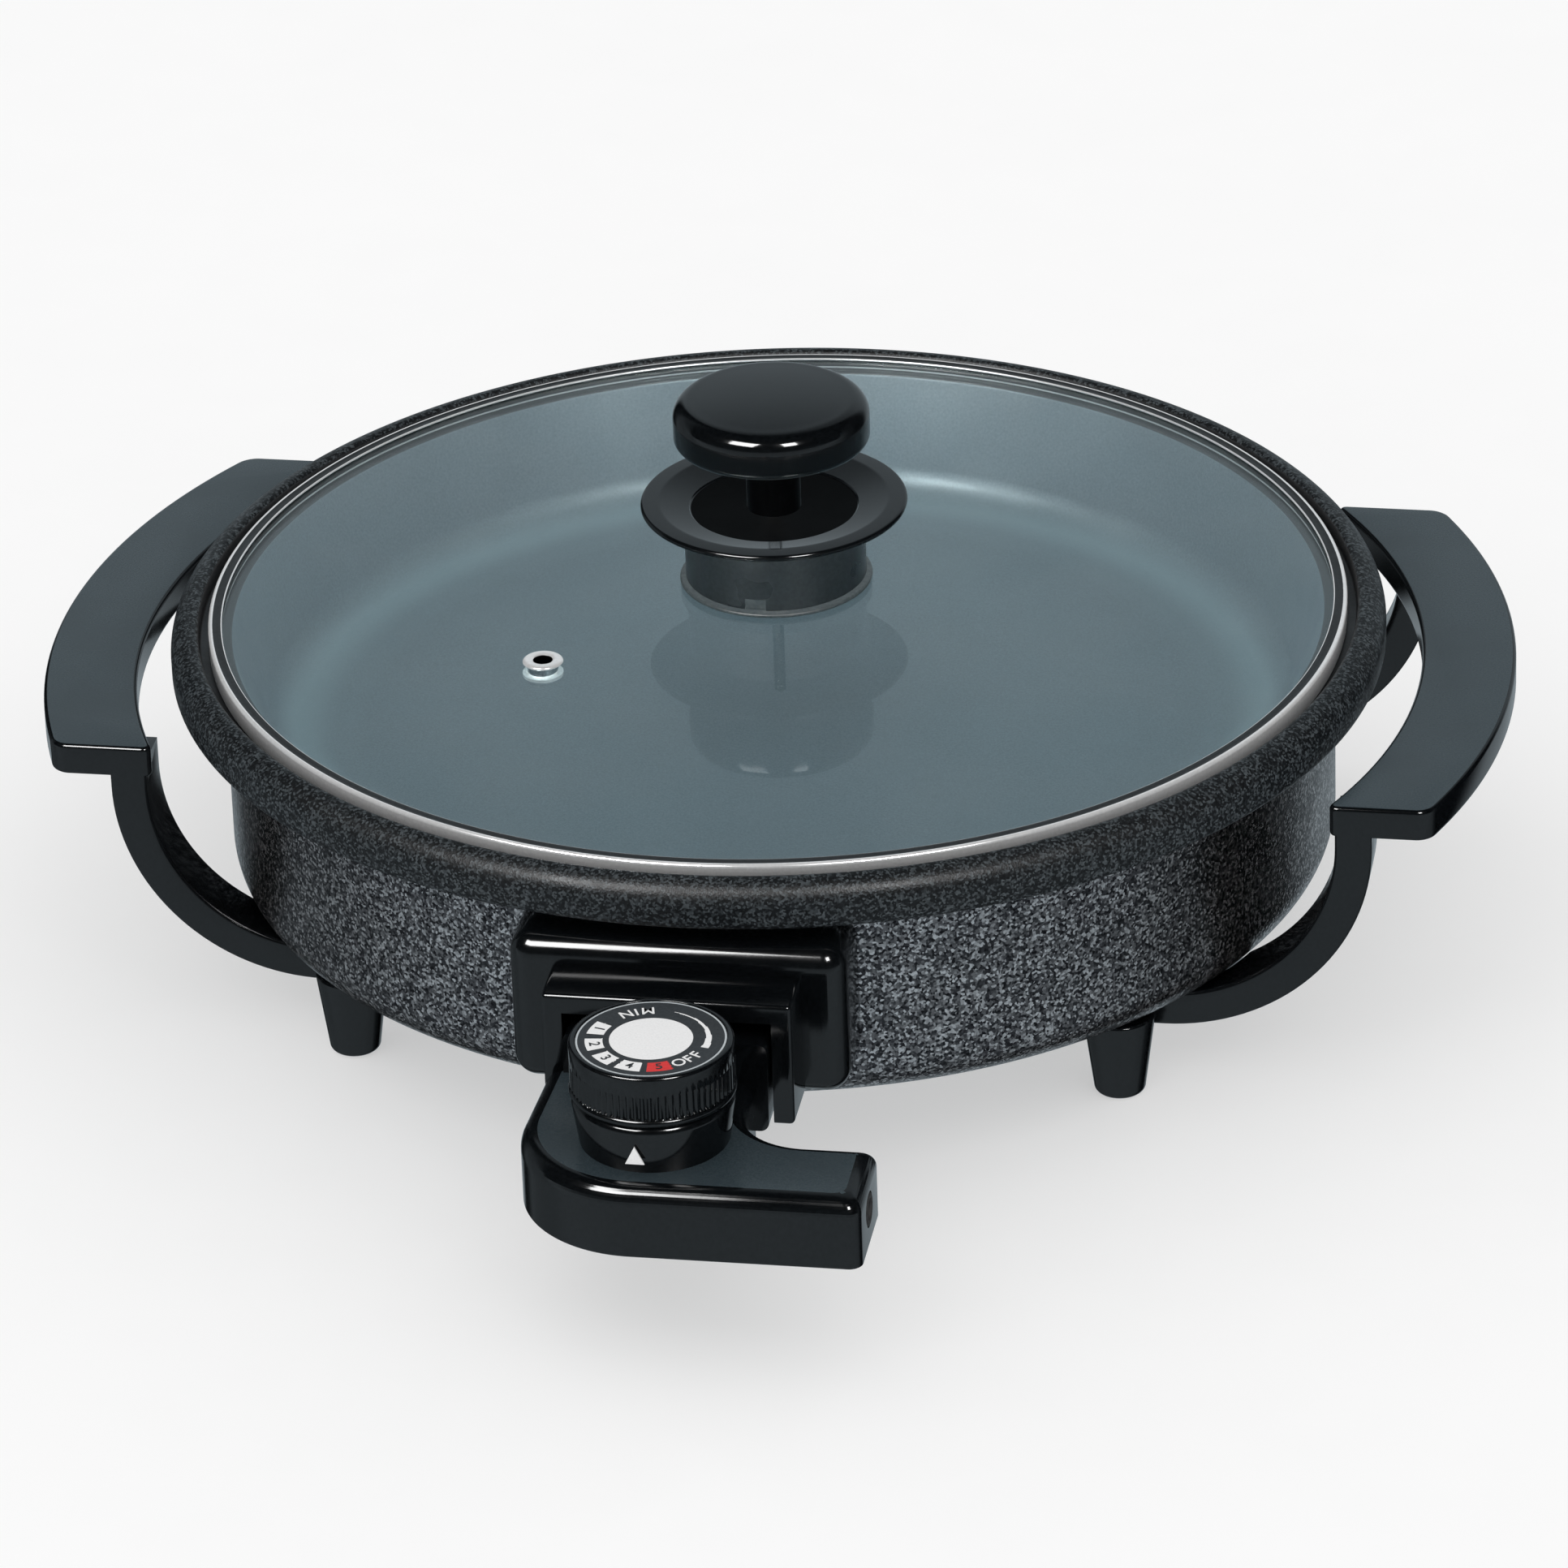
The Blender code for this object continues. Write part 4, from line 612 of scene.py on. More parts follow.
def make_glass():
    """The domed pane with its hole for the knob's screw and one for the vent."""
    steps = 40
    stations = [KNOB_HOLE + (DOME_RADIUS - KNOB_HOLE) * step / steps for step in range(steps + 1)]
    upper = [(radius, min(glass_height(radius), KNOB_BASE - GAP / 10.0)) for radius in stations]
    lower = [(radius, height - GLASS_THICK) for radius, height in upper]
    edge_round = PAST
    rim = arc((GLASS_EDGE - edge_round, GLASS_TOP - edge_round), edge_round, 90.0, 0.0, 4)
    rim += arc((GLASS_EDGE - edge_round, GLASS_TOP - GLASS_THICK + edge_round), edge_round, 0.0, -90.0, 4)
    vent = middle("vent_grommet")
    hole = rod(0.0052, 0.0, 2.0 * BAND_TOP, SMALL, (vent.x, vent.y - AXIS_Y))
    shape = worked(turned(upper + rim + lower[::-1], RING), ("cut", [hole]))
    piece("lid_pane", shape, [GLASS], "lid", "clear_glass", "lid_glass")


def make_band():
    """The steel channel round the glass: a rolled outer edge and a flat lip on the glass."""
    inner = BAND_RADIUS - BAND_DEPTH
    bottom = span("lid_rim_band")[0].z
    roll = 1.5 * BAND_SHEET
    centre = (BAND_RADIUS - roll, BAND_TOP - roll)
    sheet = BAND_SHEET
    profile = arc((inner + sheet / 2.0, BAND_TOP - sheet / 2.0), sheet / 2.0, 270.0, 90.0, 6)
    profile += [(BAND_RADIUS - 2.4 * roll, BAND_TOP - sheet / 4.0)]
    profile += [(BAND_RADIUS - 1.7 * roll, BAND_TOP - sheet / 3.0)]
    profile += arc(centre, roll, 100.0, 0.0, 8)
    profile += [(BAND_RADIUS - sheet / 4.0, BAND_TOP - 2.6 * roll)]
    profile += arc((BAND_RADIUS - sheet / 2.0, bottom + sheet / 2.0), sheet / 2.0, 0.0, -90.0, 4)
    profile += [(inner, bottom), (inner, bottom + sheet), (BAND_RADIUS - sheet, bottom + sheet)]
    profile += [(BAND_RADIUS - sheet, BAND_TOP - sheet)]
    shape = turned(profile, RING)
    # The band's flat lip is painted black as shade between its inner bead and its rolled edge
    painted_shade_inner, painted_shade_outer = inner + 0.0006, BAND_RADIUS - 0.0017
    coat_faces(shape, 1, lambda face, spot: painted_shade_inner < math.hypot(spot.x, spot.y) < painted_shade_outer)
    piece("lid_band", shape, [BAND_STEEL, SEAT_PAINTED_SHADE], "lid", "bright_steel", "lid_rim_band")


def make_vent():
    """The steam vent's steel eyelet."""
    low, high = span("vent_grommet")
    centre = ((low.x + high.x) / 2.0, (low.y + high.y) / 2.0)
    outer = radius_of("vent_grommet")
    inner, tube = 0.003, 0.00485
    lip = (outer - inner) / 2.0
    top = high.z - PAST
    profile = arc(((outer + inner) / 2.0, top), lip, 0.0, 180.0, 12)
    profile = [(radius, top + (height - top) * PAST / lip) for radius, height in profile]
    profile += [(inner, low.z + GAP), (inner + GAP, low.z), (outer, low.z), (outer, low.z + PAST)]
    profile += [(tube, low.z + PAST), (tube, top - GAP), (outer - GAP, top - GAP)]
    shape = turned(profile, SMALL, centre)
    # The eyelet's bore is painted near-black as shade inside the hole
    coat_faces(shape, 1, lambda face, spot: math.dist(spot.xy, centre) < inner + GAP / 2.0)
    piece("vent_eyelet", shape, [BAND_STEEL, PHENOLIC_PAINTED_SHADE], "lid", "bright_steel", "vent_grommet")


def make_knob():
    """Seal, saucer-shaped finger guard on its boss, and the mushroom cap on its neck."""
    seal_low, seal_high = span("knob_gasket")
    reach = radius_of("knob_gasket")
    soft = (seal_high.z - seal_low.z) / 2.0
    ring = [(KNOB_HOLE, seal_low.z), (reach - soft, seal_low.z)]
    ring += arc((reach - soft, seal_low.z + soft), soft, -90.0, 90.0, 8) + [(KNOB_HOLE, seal_high.z)]
    piece("knob_seal", turned(ring, ROUND), [SEAL], "lid", "black_rubber", "knob_gasket")
    make_saucer()
    make_mushroom()


def make_saucer():
    """The finger guard with a shallow dish and a thin rounded brim, and the hollow boss under it."""
    low, high = span("knob_guard")
    brim, boss, wall = radius_of("knob_guard"), 0.0300, 0.003
    dish, edge = high.z - 0.003, 0.0011
    under = dish - wall
    profile = [(SCREW_BORE, dish), (0.0272, dish)]
    profile += arc((0.0272, dish + PAST), PAST, -90.0, -20.0, 6)
    profile += arc((0.0385, high.z - 0.0035), 0.0035, 110.0, 85.0, 5)
    profile += arc((brim - edge, high.z - edge), edge, 90.0, -75.0, 12)
    profile += [(0.0365, high.z - 0.0042)]
    profile += arc((boss + 0.0025, under - 0.0025), 0.0025, 80.0, 180.0, 8)
    profile += [(boss, low.z + GAP), (boss - GAP, low.z)]
    profile += [(boss - wall, low.z), (boss - wall, under - wall), (SCREW_BORE, under - wall)]
    shape = turned(profile, ROUND)
    notch_wide, notch_high = 0.0035, 0.004
    notch = block((-notch_wide, -boss - PAST, low.z - PAST), (notch_wide, -boss + PAST, low.z + notch_high))
    moved(notch, x=-0.002)
    shape = worked(shape, ("cut", [notch]))
    # The dish under the cap is painted near-black as shade
    coat_faces(shape, 1, lambda face, centre: abs(centre.z - dish) < GAP and abs(face.normal.z) > 0.9)
    coat_faces(shape, 2, lambda face, centre: centre.z < under - wall and abs(face.normal.z) < 0.5)
    coat_faces(shape, 3, lambda face, spot: spot.z < low.z + notch_high + GAP
               and PAST / 2.0 - boss < spot.y < wall - boss
               and abs(spot.x + 0.002) < notch_wide + GAP and abs(face.normal.y) > 0.9)
    item = piece("knob_saucer", shape, [PHENOLIC, PHENOLIC_PAINTED_SHADE, PHENOLIC_SATIN, SEAL], "lid", "black_phenolic",
                 "knob_guard")
    item.visible_diffuse = item.visible_glossy = item.visible_shadow = False


def make_mushroom():
    """The cap: crowned top, full rounded edge and a waisted neck."""
    low, high = span("knob_cap")
    cap, neck = radius_of("knob_cap"), 0.009
    under = low.z + 0.0241
    crown, turn, foot = 0.0015, 0.0062, 0.0024
    shoulder = high.z - crown
    profile = [(0.0, high.z)]
    for step in range(1, 11):
        share = step / 10.0
        profile.append(((cap - turn) * share, high.z - crown * share ** 2))
    profile += arc((cap - turn, shoulder - turn), turn, 82.0, 0.0, 14)
    profile += arc((cap - foot, under + foot), foot, 0.0, -90.0, 10)
    profile += arc((neck + 0.003, under - 0.003), 0.003, 90.0, 180.0, 8)
    profile += [(neck, low.z), (SCREW_BORE, low.z), (SCREW_BORE, under), (0.0, under)]
    shape = turned(profile, ROUND)
    # The neck under the cap is painted near-black as shade
    coat_faces(shape, 1, lambda face, spot: math.hypot(spot.x, spot.y) < neck + 2.0 * PAST and spot.z < under)
    item = piece("knob_mushroom", shape, [PHENOLIC, PHENOLIC_PAINTED_SHADE], "lid", "black_phenolic", "knob_cap")
    item.visible_diffuse = item.visible_glossy = item.visible_shadow = False


# Handles and feet

def grip_outline():
    """Plan of the right grip: part of a ring round the pan, cut square at both ends."""
    inner = GRIP_REACH - GRIP_WIDTH
    ends = []
    for radius in (GRIP_REACH, inner):
        ends.append([math.degrees(math.asin(y / radius)) for y in (-GRIP_FRONT, GRIP_REAR)])
    outer_run = arc((0.0, 0.0), GRIP_REACH, ends[0][0], ends[0][1], 40)
    return outer_run + arc((0.0, 0.0), inner, ends[1][1], ends[1][0], 40)


def grip_plate():
    """The flat curved grip, with round corners and a full soft edge."""
    plate = prism(grip_outline(), GRIP_TOP - GRIP_THICK, GRIP_TOP)
    round_edges(plate, 0.0045, 8, lambda edge: not level(edge) and corner_of_grip(edge))
    return round_edges(plate, 0.0026, 6, level)


def corner_of_grip(edge):
    """Whether an upright edge is one of the grip's four corners."""
    y = edge.verts[0].co.y
    return y < -GRIP_FRONT + GAP or y > GRIP_REAR - GAP


def handle_screws():
    """Names and centres of the handle screws, from the frame."""
    names = [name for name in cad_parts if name.startswith("handle_screw_")]
    return [(middle(name).x, middle(name).y - AXIS_Y) for name in sorted(names)]


def arm(front):
    """One arm: down from the grip, round a bend and in under the pan; its edges are softened."""
    inner = ARM_BEND - ARM_THICK
    near = min((place for place in handle_screws() if place[0] > 0.0),
               key=lambda place: abs(place[1] - front - ARM_WIDTH / 2.0))
    lug_end = near[0] - 0.011
    outline = [(ARM_CENTRE[0] + ARM_BEND, ARM_TOP)] + arc(ARM_CENTRE, ARM_BEND, 0.0, -90.0, 32)
    outline += [(lug_end, ARM_CENTRE[1] - ARM_BEND), (lug_end, ARM_CENTRE[1] - inner)]
    outline += arc(ARM_CENTRE, inner, -90.0, 0.0, 32) + [(ARM_CENTRE[0] + inner, ARM_TOP)]
    strap = prism([(x, -z) for x, z in outline], front, front + ARM_WIDTH)
    round_edges(strap, 0.0014, 4, level)
    return rotated(strap, -math.pi / 2, "X")


def pan_clearance():
    """The pan's outer shape below its rim, which seats the arms on the pan."""
    base_centre = (WALL_RADIUS - BASE_ROUND, BASE_HEIGHT + BASE_ROUND)
    profile = [(0.0, RIM_BOTTOM), (WALL_RADIUS + GAP, RIM_BOTTOM)]
    profile += arc(base_centre, BASE_ROUND + GAP, 0.0, -90.0, 18) + [(0.0, BASE_HEIGHT - GAP)]
    return turned(profile, RING)


def make_handles():
    """Both handles, each a grip on two arms, with the recesses for its screws."""
    for name, side in (("left", -1.0), ("right", 1.0)):
        arms = [arm(-GRIP_FRONT), arm(GRIP_REAR - ARM_WIDTH)]
        places = [place for place in handle_screws() if place[0] > 0.0]
        bores = [rod(0.0023, 0.0, BASE_HEIGHT, 24, place) for place in places]
        recesses = [rod(0.0043, 0.0, LUG_TOP - ARM_THICK / 2.0 + GAP, SMALL, place) for place in places]
        shape = worked(grip_plate(), ("join", arms), ("cut", [pan_clearance()]), ("cut", bores),
                       ("cut", recesses))
        # The grip's flat top gets the lighter copy of the phenolic: painted sheen
        coat_faces(shape, 1, flat_top(GRIP_TOP))
        bmesh.ops.scale(shape, vec=(side, 1.0, 1.0), verts=shape.verts[:])
        piece("grip_" + name, shape, [PHENOLIC, PHENOLIC_PAINTED_SHEEN], "pan", "black_phenolic", "handle_" + name)


def make_feet():
    """Tapered stub feet, round at the tip, with a recess for the screw."""
    for node in sorted(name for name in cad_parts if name.startswith("foot_") and "screw" not in name):
        centre = (middle(node).x, middle(node).y - AXIS_Y)
        wide, tip, soft = 0.0118, 0.0085, 0.0024
        recess, hole, seat = 0.0043, 0.0023, BASE_HEIGHT - 0.012 + GAP
        profile = [(recess, 0.0)] + arc((tip - soft, soft), soft, -90.0, 0.0, 8)
        profile += arc((wide - PAST, LUG_TOP - PAST), PAST, 0.0, 90.0, 5)
        profile += [(hole, LUG_TOP), (hole, seat), (recess, seat)]
        piece("stub_" + node, turned(profile, SMALL, centre), [PHENOLIC], "pan", "black_phenolic", node)


def make_screws():
    """Pan-head screws with a cross slot, one for each screw of the frame."""
    for node in sorted(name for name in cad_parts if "screw" in name and "block" not in name):
        low, high = span(node)
        head = radius_of(node)
        shank, thick = head / 2.0, head * 0.6
        seat = low.z + thick
        profile = [(0.0, low.z)] + [(head - thick / 2.0, low.z)]
        profile += arc((head - thick / 2.0, low.z + thick / 2.0), thick / 2.0, -70.0, 0.0, 5)
        profile += [(head, seat), (shank, seat), (shank, high.z - shank), (0.0, high.z)]
        shape = turned(profile, 32)
        wide, slim, deep = head * 0.55, head * 0.11, thick * 0.45
        slots = [block((-wide, -slim, low.z - PAST), (wide, slim, low.z + deep)),
                 block((-slim, -wide, low.z - PAST), (slim, wide, low.z + deep))]
        shape = worked(shape, ("cut", slots[:1]), ("cut", slots[1:]))
        where = middle(node)
        shape = moved(shape, x=where.x, y=where.y - AXIS_Y)
        kind = ZINC if node != "knob_screw" else STEEL
        body = "lid" if node == "knob_screw" else "thermostat" if node.startswith("case") else "pan"
        slot = "bright_steel" if node == "knob_screw" else "zinc_plate"
        piece("fixing_" + node, shape, [kind], body, slot, node)


# Connector block and terminals

def make_connector():
    """The moulded block on the wall: soft front edges, a hood over the socket and the holes in it."""
    behind = -math.sqrt(WALL_RADIUS ** 2 - BLOCK_HALF_WIDTH ** 2) + WALL_THICK
    body = block((-BLOCK_HALF_WIDTH, BLOCK_FRONT, BLOCK_LOW.z), (BLOCK_HALF_WIDTH, behind, BLOCK_TOP))
    round_edges(body, 0.0078, 12, lambda edge: min(v.co.y for v in edge.verts) < BLOCK_FRONT + GAP)
    roof = HEAD_TOP + 0.005
    hood = block((-HOOD_HALF_WIDTH, HOOD_FRONT, HEAD_BOTTOM),
                 (HOOD_HALF_WIDTH, BLOCK_FRONT + 0.006, roof + 0.0065))
    round_edges(hood, 0.0016, 4, lambda edge: min(v.co.y for v in edge.verts) < BLOCK_FRONT)
    inside = HEAD_HALF_WIDTH + SLIDE_GAP
    pocket = block((-inside, 2.0 * HOOD_FRONT, 0.0), (inside, BLOCK_FRONT + 0.008, roof))
    bead = radius_of("terminal_bead_left") + GAP
    pin = radius_of("terminal_pin_left") + GAP
    bead_end = span("terminal_bead_left")[0].y - GAP
    wide = [bore(PROBE_RADIUS + SLIDE_GAP, 0.0, 2.0 * BLOCK_FRONT, 0.0)]
    slim = []
    for side in (-1.0, 1.0):
        wide.append(bore(bead, 0.0, bead_end, side * PIN_SPREAD))
        slim.append(bore(pin, 0.0, HOOD_FRONT, side * PIN_SPREAD))
    shape = worked(body, ("join", [hood]), ("cut", [pocket]),
                   ("cut", [rod(WALL_RADIUS + GAP, 0.0, 2.0 * BLOCK_TOP, RING)]), ("cut", wide), ("cut", slim))
    piece("socket_block", shape, [PHENOLIC], "pan", "black_phenolic", "connector_block")


def make_terminals():
    """Round-nosed pins, and the ceramic beads that they pass through."""
    for name in ("left", "right"):
        x = middle("terminal_pin_" + name).x
        low, high = span("terminal_pin_" + name)
        radius = radius_of("terminal_pin_" + name)
        nose = arc((0.0, -low.y - radius), radius, 0.0, 90.0, 8)
        pin = turned([(0.0, -high.y), (radius, -high.y)] + nose[:-1] + [(0.0, -low.y)], SMALL)
        piece("pin_" + name, laid(pin, x, AXIS_HEIGHT), [BRASS], "pan", "nickel_brass", "terminal_pin_" + name)
        low, high = span("terminal_bead_" + name)
        outer, soft = radius_of("terminal_bead_" + name), 0.0008
        profile = [(radius + GAP, -high.y), (outer - soft, -high.y), (outer, -high.y + soft)]
        profile += arc((outer - soft, -low.y - soft), soft, 0.0, 90.0, 4) + [(radius + GAP, -low.y)]
        piece("bead_" + name, laid(turned(profile, SMALL), x, AXIS_HEIGHT), [CERAMIC], "pan", "white_ceramic",
              "terminal_bead_" + name)


# Thermostat

def case_outline(inset, back_inset=None):
    """Plan of the thermostat case, drawn in by an inset; its back edge may have another."""
    nose_round, neck, end_round, throat = 0.040, 0.0385, 0.004, 0.022
    throat_x = CASE_THROAT_X
    back = HEAD_FRONT - (inset if back_inset is None else back_inset)
    rear = CASE_FRONT + 0.035
    end = CASE_END - inset
    points = [(-neck + inset, back)]
    points += arc((0.0, CASE_FRONT + nose_round), nose_round - inset, 180.0, 270.0, 36)
    points += arc((end - end_round, CASE_FRONT + inset + end_round), end_round, -90.0, 0.0, 8)
    points += arc((end - end_round / 2.0, rear - inset - end_round / 2.0), end_round / 2.0, 0.0, 90.0, 6)
    points += arc((throat_x + throat, rear + throat), throat + inset, 270.0, 180.0, 28)
    points += [(throat_x - inset, back)]
    return points


def collar():
    """The hollow drum under the dial: a closed shell of its own, its foot set into the case's roof."""
    inside, roof, soft = COLLAR_FOOT - CASE_WALL, COLLAR_TOP - 2.0 * CASE_WALL, 0.0028
    profile = [(inside, CASE_TOP - CASE_WALL), (COLLAR_FOOT, CASE_TOP - CASE_WALL), (COLLAR_FOOT, CASE_TOP)]
    profile += arc((COLLAR_RADIUS - soft, COLLAR_TOP - soft), soft, 6.0, 90.0, 12)
    profile += [(SPINDLE_HOLE, COLLAR_TOP), (SPINDLE_HOLE, roof), (inside, roof)]
    return turned(profile, ROUND, (DIAL_X, DIAL_Y))


def case_hollows():
    """The rooms inside the case: arm, plug head, neck and collar."""
    half = HEAD_HALF_WIDTH - CASE_WALL
    low, high = HEAD_BOTTOM + CASE_WALL, HEAD_TOP - CASE_WALL
    reach = 2.0 * CASE_WALL
    neck = CASE_THROAT_X - reach
    arm_room = prism(case_outline(CASE_WALL), CASE_BOTTOM - PAST, CASE_ROOF)
    head_room = block((-half, HEAD_FRONT + CASE_WALL, low), (half, HEAD_BACK - CASE_WALL, high))
    passage = block((-neck, HEAD_FRONT - reach, low), (neck, HEAD_FRONT + reach, CASE_ROOF - PAST))
    collar_room = rod(COLLAR_FOOT - CASE_WALL, CASE_BOTTOM, COLLAR_TOP - 2.0 * CASE_WALL, ROUND, (DIAL_X, DIAL_Y))
    return [("cut", [room]) for room in (arm_room, head_room, passage, collar_room)]


def make_case():
    """Upper case with its plug head and the dial's collar, hollow and open below."""
    crest, steps = 0.0062, 12
    levels = [(case_outline(GAP, 0.0), CASE_BOTTOM), (case_outline(0.0, 0.0), CASE_BOTTOM + GAP)]
    for step in range(steps + 1):
        angle = math.pi / 2 * step / steps
        levels.append((case_outline(crest * (1.0 - math.cos(angle)), 0.0),
                       CASE_TOP - crest * (1.0 - math.sin(angle))))
    shell = lofted(levels)
    head = block((-HEAD_HALF_WIDTH, HEAD_FRONT - PAST, HEAD_BOTTOM), (HEAD_HALF_WIDTH, HEAD_BACK, HEAD_TOP))
    round_edges(head, 0.003, 6, lambda edge: abs(edge.verts[0].co.y - edge.verts[1].co.y) > GAP)
    front, behind = HEAD_BACK - 2.0 * CASE_WALL, HEAD_BACK + PAST
    holes = [bore(PROBE_RADIUS + GAP, behind, front, 0.0)]
    contact = radius_of("socket_contact_left") + GAP
    holes += [bore(contact, behind, front, side * PIN_SPREAD) for side in (-1.0, 1.0)]
    outlet = rotated(rod(0.0058, -2.0 * CASE_WALL, 2.0 * CASE_WALL, SMALL), math.pi / 2, "Y")
    bush = middle("cord_bush")
    holes.append(moved(outlet, x=CASE_END, y=bush.y - AXIS_Y, z=bush.z))
    shape = merged([worked(shell, ("join", [head]), *case_hollows(), ("cut", holes)), collar()])
    # The case's flat top gets the lighter copy of the phenolic: painted sheen
    coat_faces(shape, 1, flat_top(CASE_TOP))
    piece("plug_case", shape, [PHENOLIC, PHENOLIC_PAINTED_SHEEN], "thermostat", "black_phenolic", "thermostat_case",
          sharp=36.0)


def make_case_floor():
    """The plate that closes the case, with a recess for each screw."""
    plate = prism(case_outline(CASE_WALL + GAP), CASE_BOTTOM, CASE_BOTTOM + CASE_WALL)
    places = [middle(name) for name in sorted(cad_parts) if name.startswith("case_screw_")]
    places = [(place.x, place.y - AXIS_Y) for place in places]
    bores = [rod(0.0016, 0.0, CASE_TOP, 24, place) for place in places]
    recesses = [rod(0.0028, 0.0, CASE_BOTTOM + 0.0018, 24, place) for place in places]
    shape = worked(plate, ("cut", bores), ("cut", recesses))
    piece("plug_case_floor", shape, [PHENOLIC_SATIN], "thermostat", "black_phenolic", "thermostat_bottom")


def make_probe():
    """The long temperature rod, round at its tip, with a flange inside the head."""
    low, high = span("sensor_probe")
    tip, radius, flange = -high.y, PROBE_RADIUS, 0.007
    wall_front = -HEAD_BACK + CASE_WALL + GAP
    profile = [(0.0, tip)] + arc((0.0, tip + radius), radius, -80.0, 0.0, 10)
    profile += [(radius, wall_front), (flange, wall_front), (flange, -low.y), (0.0, -low.y)]
    piece("probe_rod", laid(turned(profile, SMALL), 0.0, AXIS_HEIGHT), [STEEL], "thermostat", "bright_steel",
          "sensor_probe")


def make_contacts():
    """Tubular contacts with a slightly flared mouth."""
    for name in ("left", "right"):
        node = "socket_contact_" + name
        low, high = span(node)
        outer, inner, flare = radius_of(node), 0.0027, 0.0003
        profile = [(inner + flare, -high.y), (outer, -high.y), (outer, -low.y), (inner, -low.y)]
        profile += [(inner, -high.y + 2.0 * flare)]
        shape = laid(turned(profile, SMALL), middle(node).x, AXIS_HEIGHT)
        piece("contact_" + name, shape, [BRASS], "thermostat", "nickel_brass", node)


def make_bush():
    """Rubber bush in the cord's outlet, its mouth rounded."""
    low, high = span("cord_bush")
    outer, inner, soft = 0.0055, 0.0033, 0.0008
    profile = [(inner, low.x), (outer, low.x)]
    profile += arc((outer - soft, high.x - soft), soft, 0.0, 90.0, 5)
    profile += arc((inner + soft, high.x - soft), soft, 90.0, 180.0, 5)
    shape = rotated(turned(profile, SMALL), math.pi / 2, "Y")
    where = middle("cord_bush")
    piece("outlet_bush", moved(shape, y=where.y - AXIS_Y, z=where.z), [RUBBER], "thermostat", "black_rubber",
          "cord_bush")


# Dial

RIB_COUNT = 72
RIB_STEPS = 4
RIB_DEPTH = 0.0007
DISC_RADIUS = 0.0130
EDGE_LINE = 0.0006
BOX_INNER, BOX_OUTER, BOX_HALF_ANGLE = 0.0151, 0.0204, 11.5
BOX_ANGLES = (165.0, 197.0, 228.0, 258.0, 288.0)
LETTER_ANGLES = (103.0, 115.0, 126.0, 309.0, 321.0, 332.0)
SWEEP_START, SWEEP_END, SWEEP_REACH, SWEEP_WIDE, SWEEP_SLIM = -12.0, 76.0, 0.0178, 0.0022, 0.0003


def dial_cup():
    """The dial's cup: bevelled shoulder, ribbed grip, and a smooth flange along its foot."""
    low, high, recess = DIAL_LOW, DIAL_HIGH, DIAL_HIGH - 0.001
    wall, face, hub = 0.003, FACE_RADIUS + GAP, SPINDLE_HOLE
    flange, waist = 0.0030, DIAL_RADIUS - 0.0004
    rib_low, rib_high = low + flange, low + 0.0105
    profile = [(0.0, recess), (face, recess), (face, high - GAP)]
    profile += arc((face + GAP, high - GAP), GAP, 180.0, 90.0, 4)
    profile += arc((DIAL_RADIUS - 0.0016, high - 0.0012), 0.0012, 80.0, 8.0, 8)
    profile += [(waist, high - 0.0030), (waist, rib_high + PAST), (waist, rib_high), (waist, rib_low)]
    profile += [(waist, low + flange - GAP)]
    profile += arc((DIAL_RADIUS - 0.0013, low + 0.0013), 0.0013, 60.0, -90.0, 10)
    profile += [(DIAL_RADIUS - wall, low), (DIAL_RADIUS - wall, recess - wall), (hub + wall, recess - wall)]
    profile += [(hub + wall, low), (hub, low), (hub, recess - wall), (0.0, recess - wall)]
    shape = turned(profile, RIB_COUNT * RIB_STEPS)
    for vert in shape.verts:
        on_grip = rib_low - GAP / 2.0 < vert.co.z < rib_high + GAP / 2.0
        reach = math.hypot(vert.co.x, vert.co.y)
        if on_grip and reach > waist - GAP:
            turn = math.atan2(vert.co.y, vert.co.x) / math.tau % 1.0
            if round(turn * RIB_COUNT * RIB_STEPS) % RIB_STEPS in (0, 1):
                vert.co.xy *= (reach - RIB_DEPTH) / reach
    return moved(shape, x=DIAL_X, y=DIAL_Y)


def mark_at(angle, radius):
    """Which print covers a spot of the dial's face: 0 ground, 1 white, 2 red, 3 grey."""
    if radius < DISC_RADIUS:
        return 1
    if FACE_RADIUS - EDGE_LINE < radius:
        return 3
    if BOX_INNER < radius < BOX_OUTER:
        for centre in BOX_ANGLES:
            if abs(angle - centre) < BOX_HALF_ANGLE:
                return 2 if centre == BOX_ANGLES[-1] else 1
    swing = (angle + 90.0) % 360.0 - 90.0
    if SWEEP_START < swing < SWEEP_END:
        share = 1.0 - (swing - SWEEP_START) / (SWEEP_END - SWEEP_START)
        return 1 if abs(radius - SWEEP_REACH) < (SWEEP_WIDE * share ** 1.4 + SWEEP_SLIM) / 2.0 else 0
    return 0


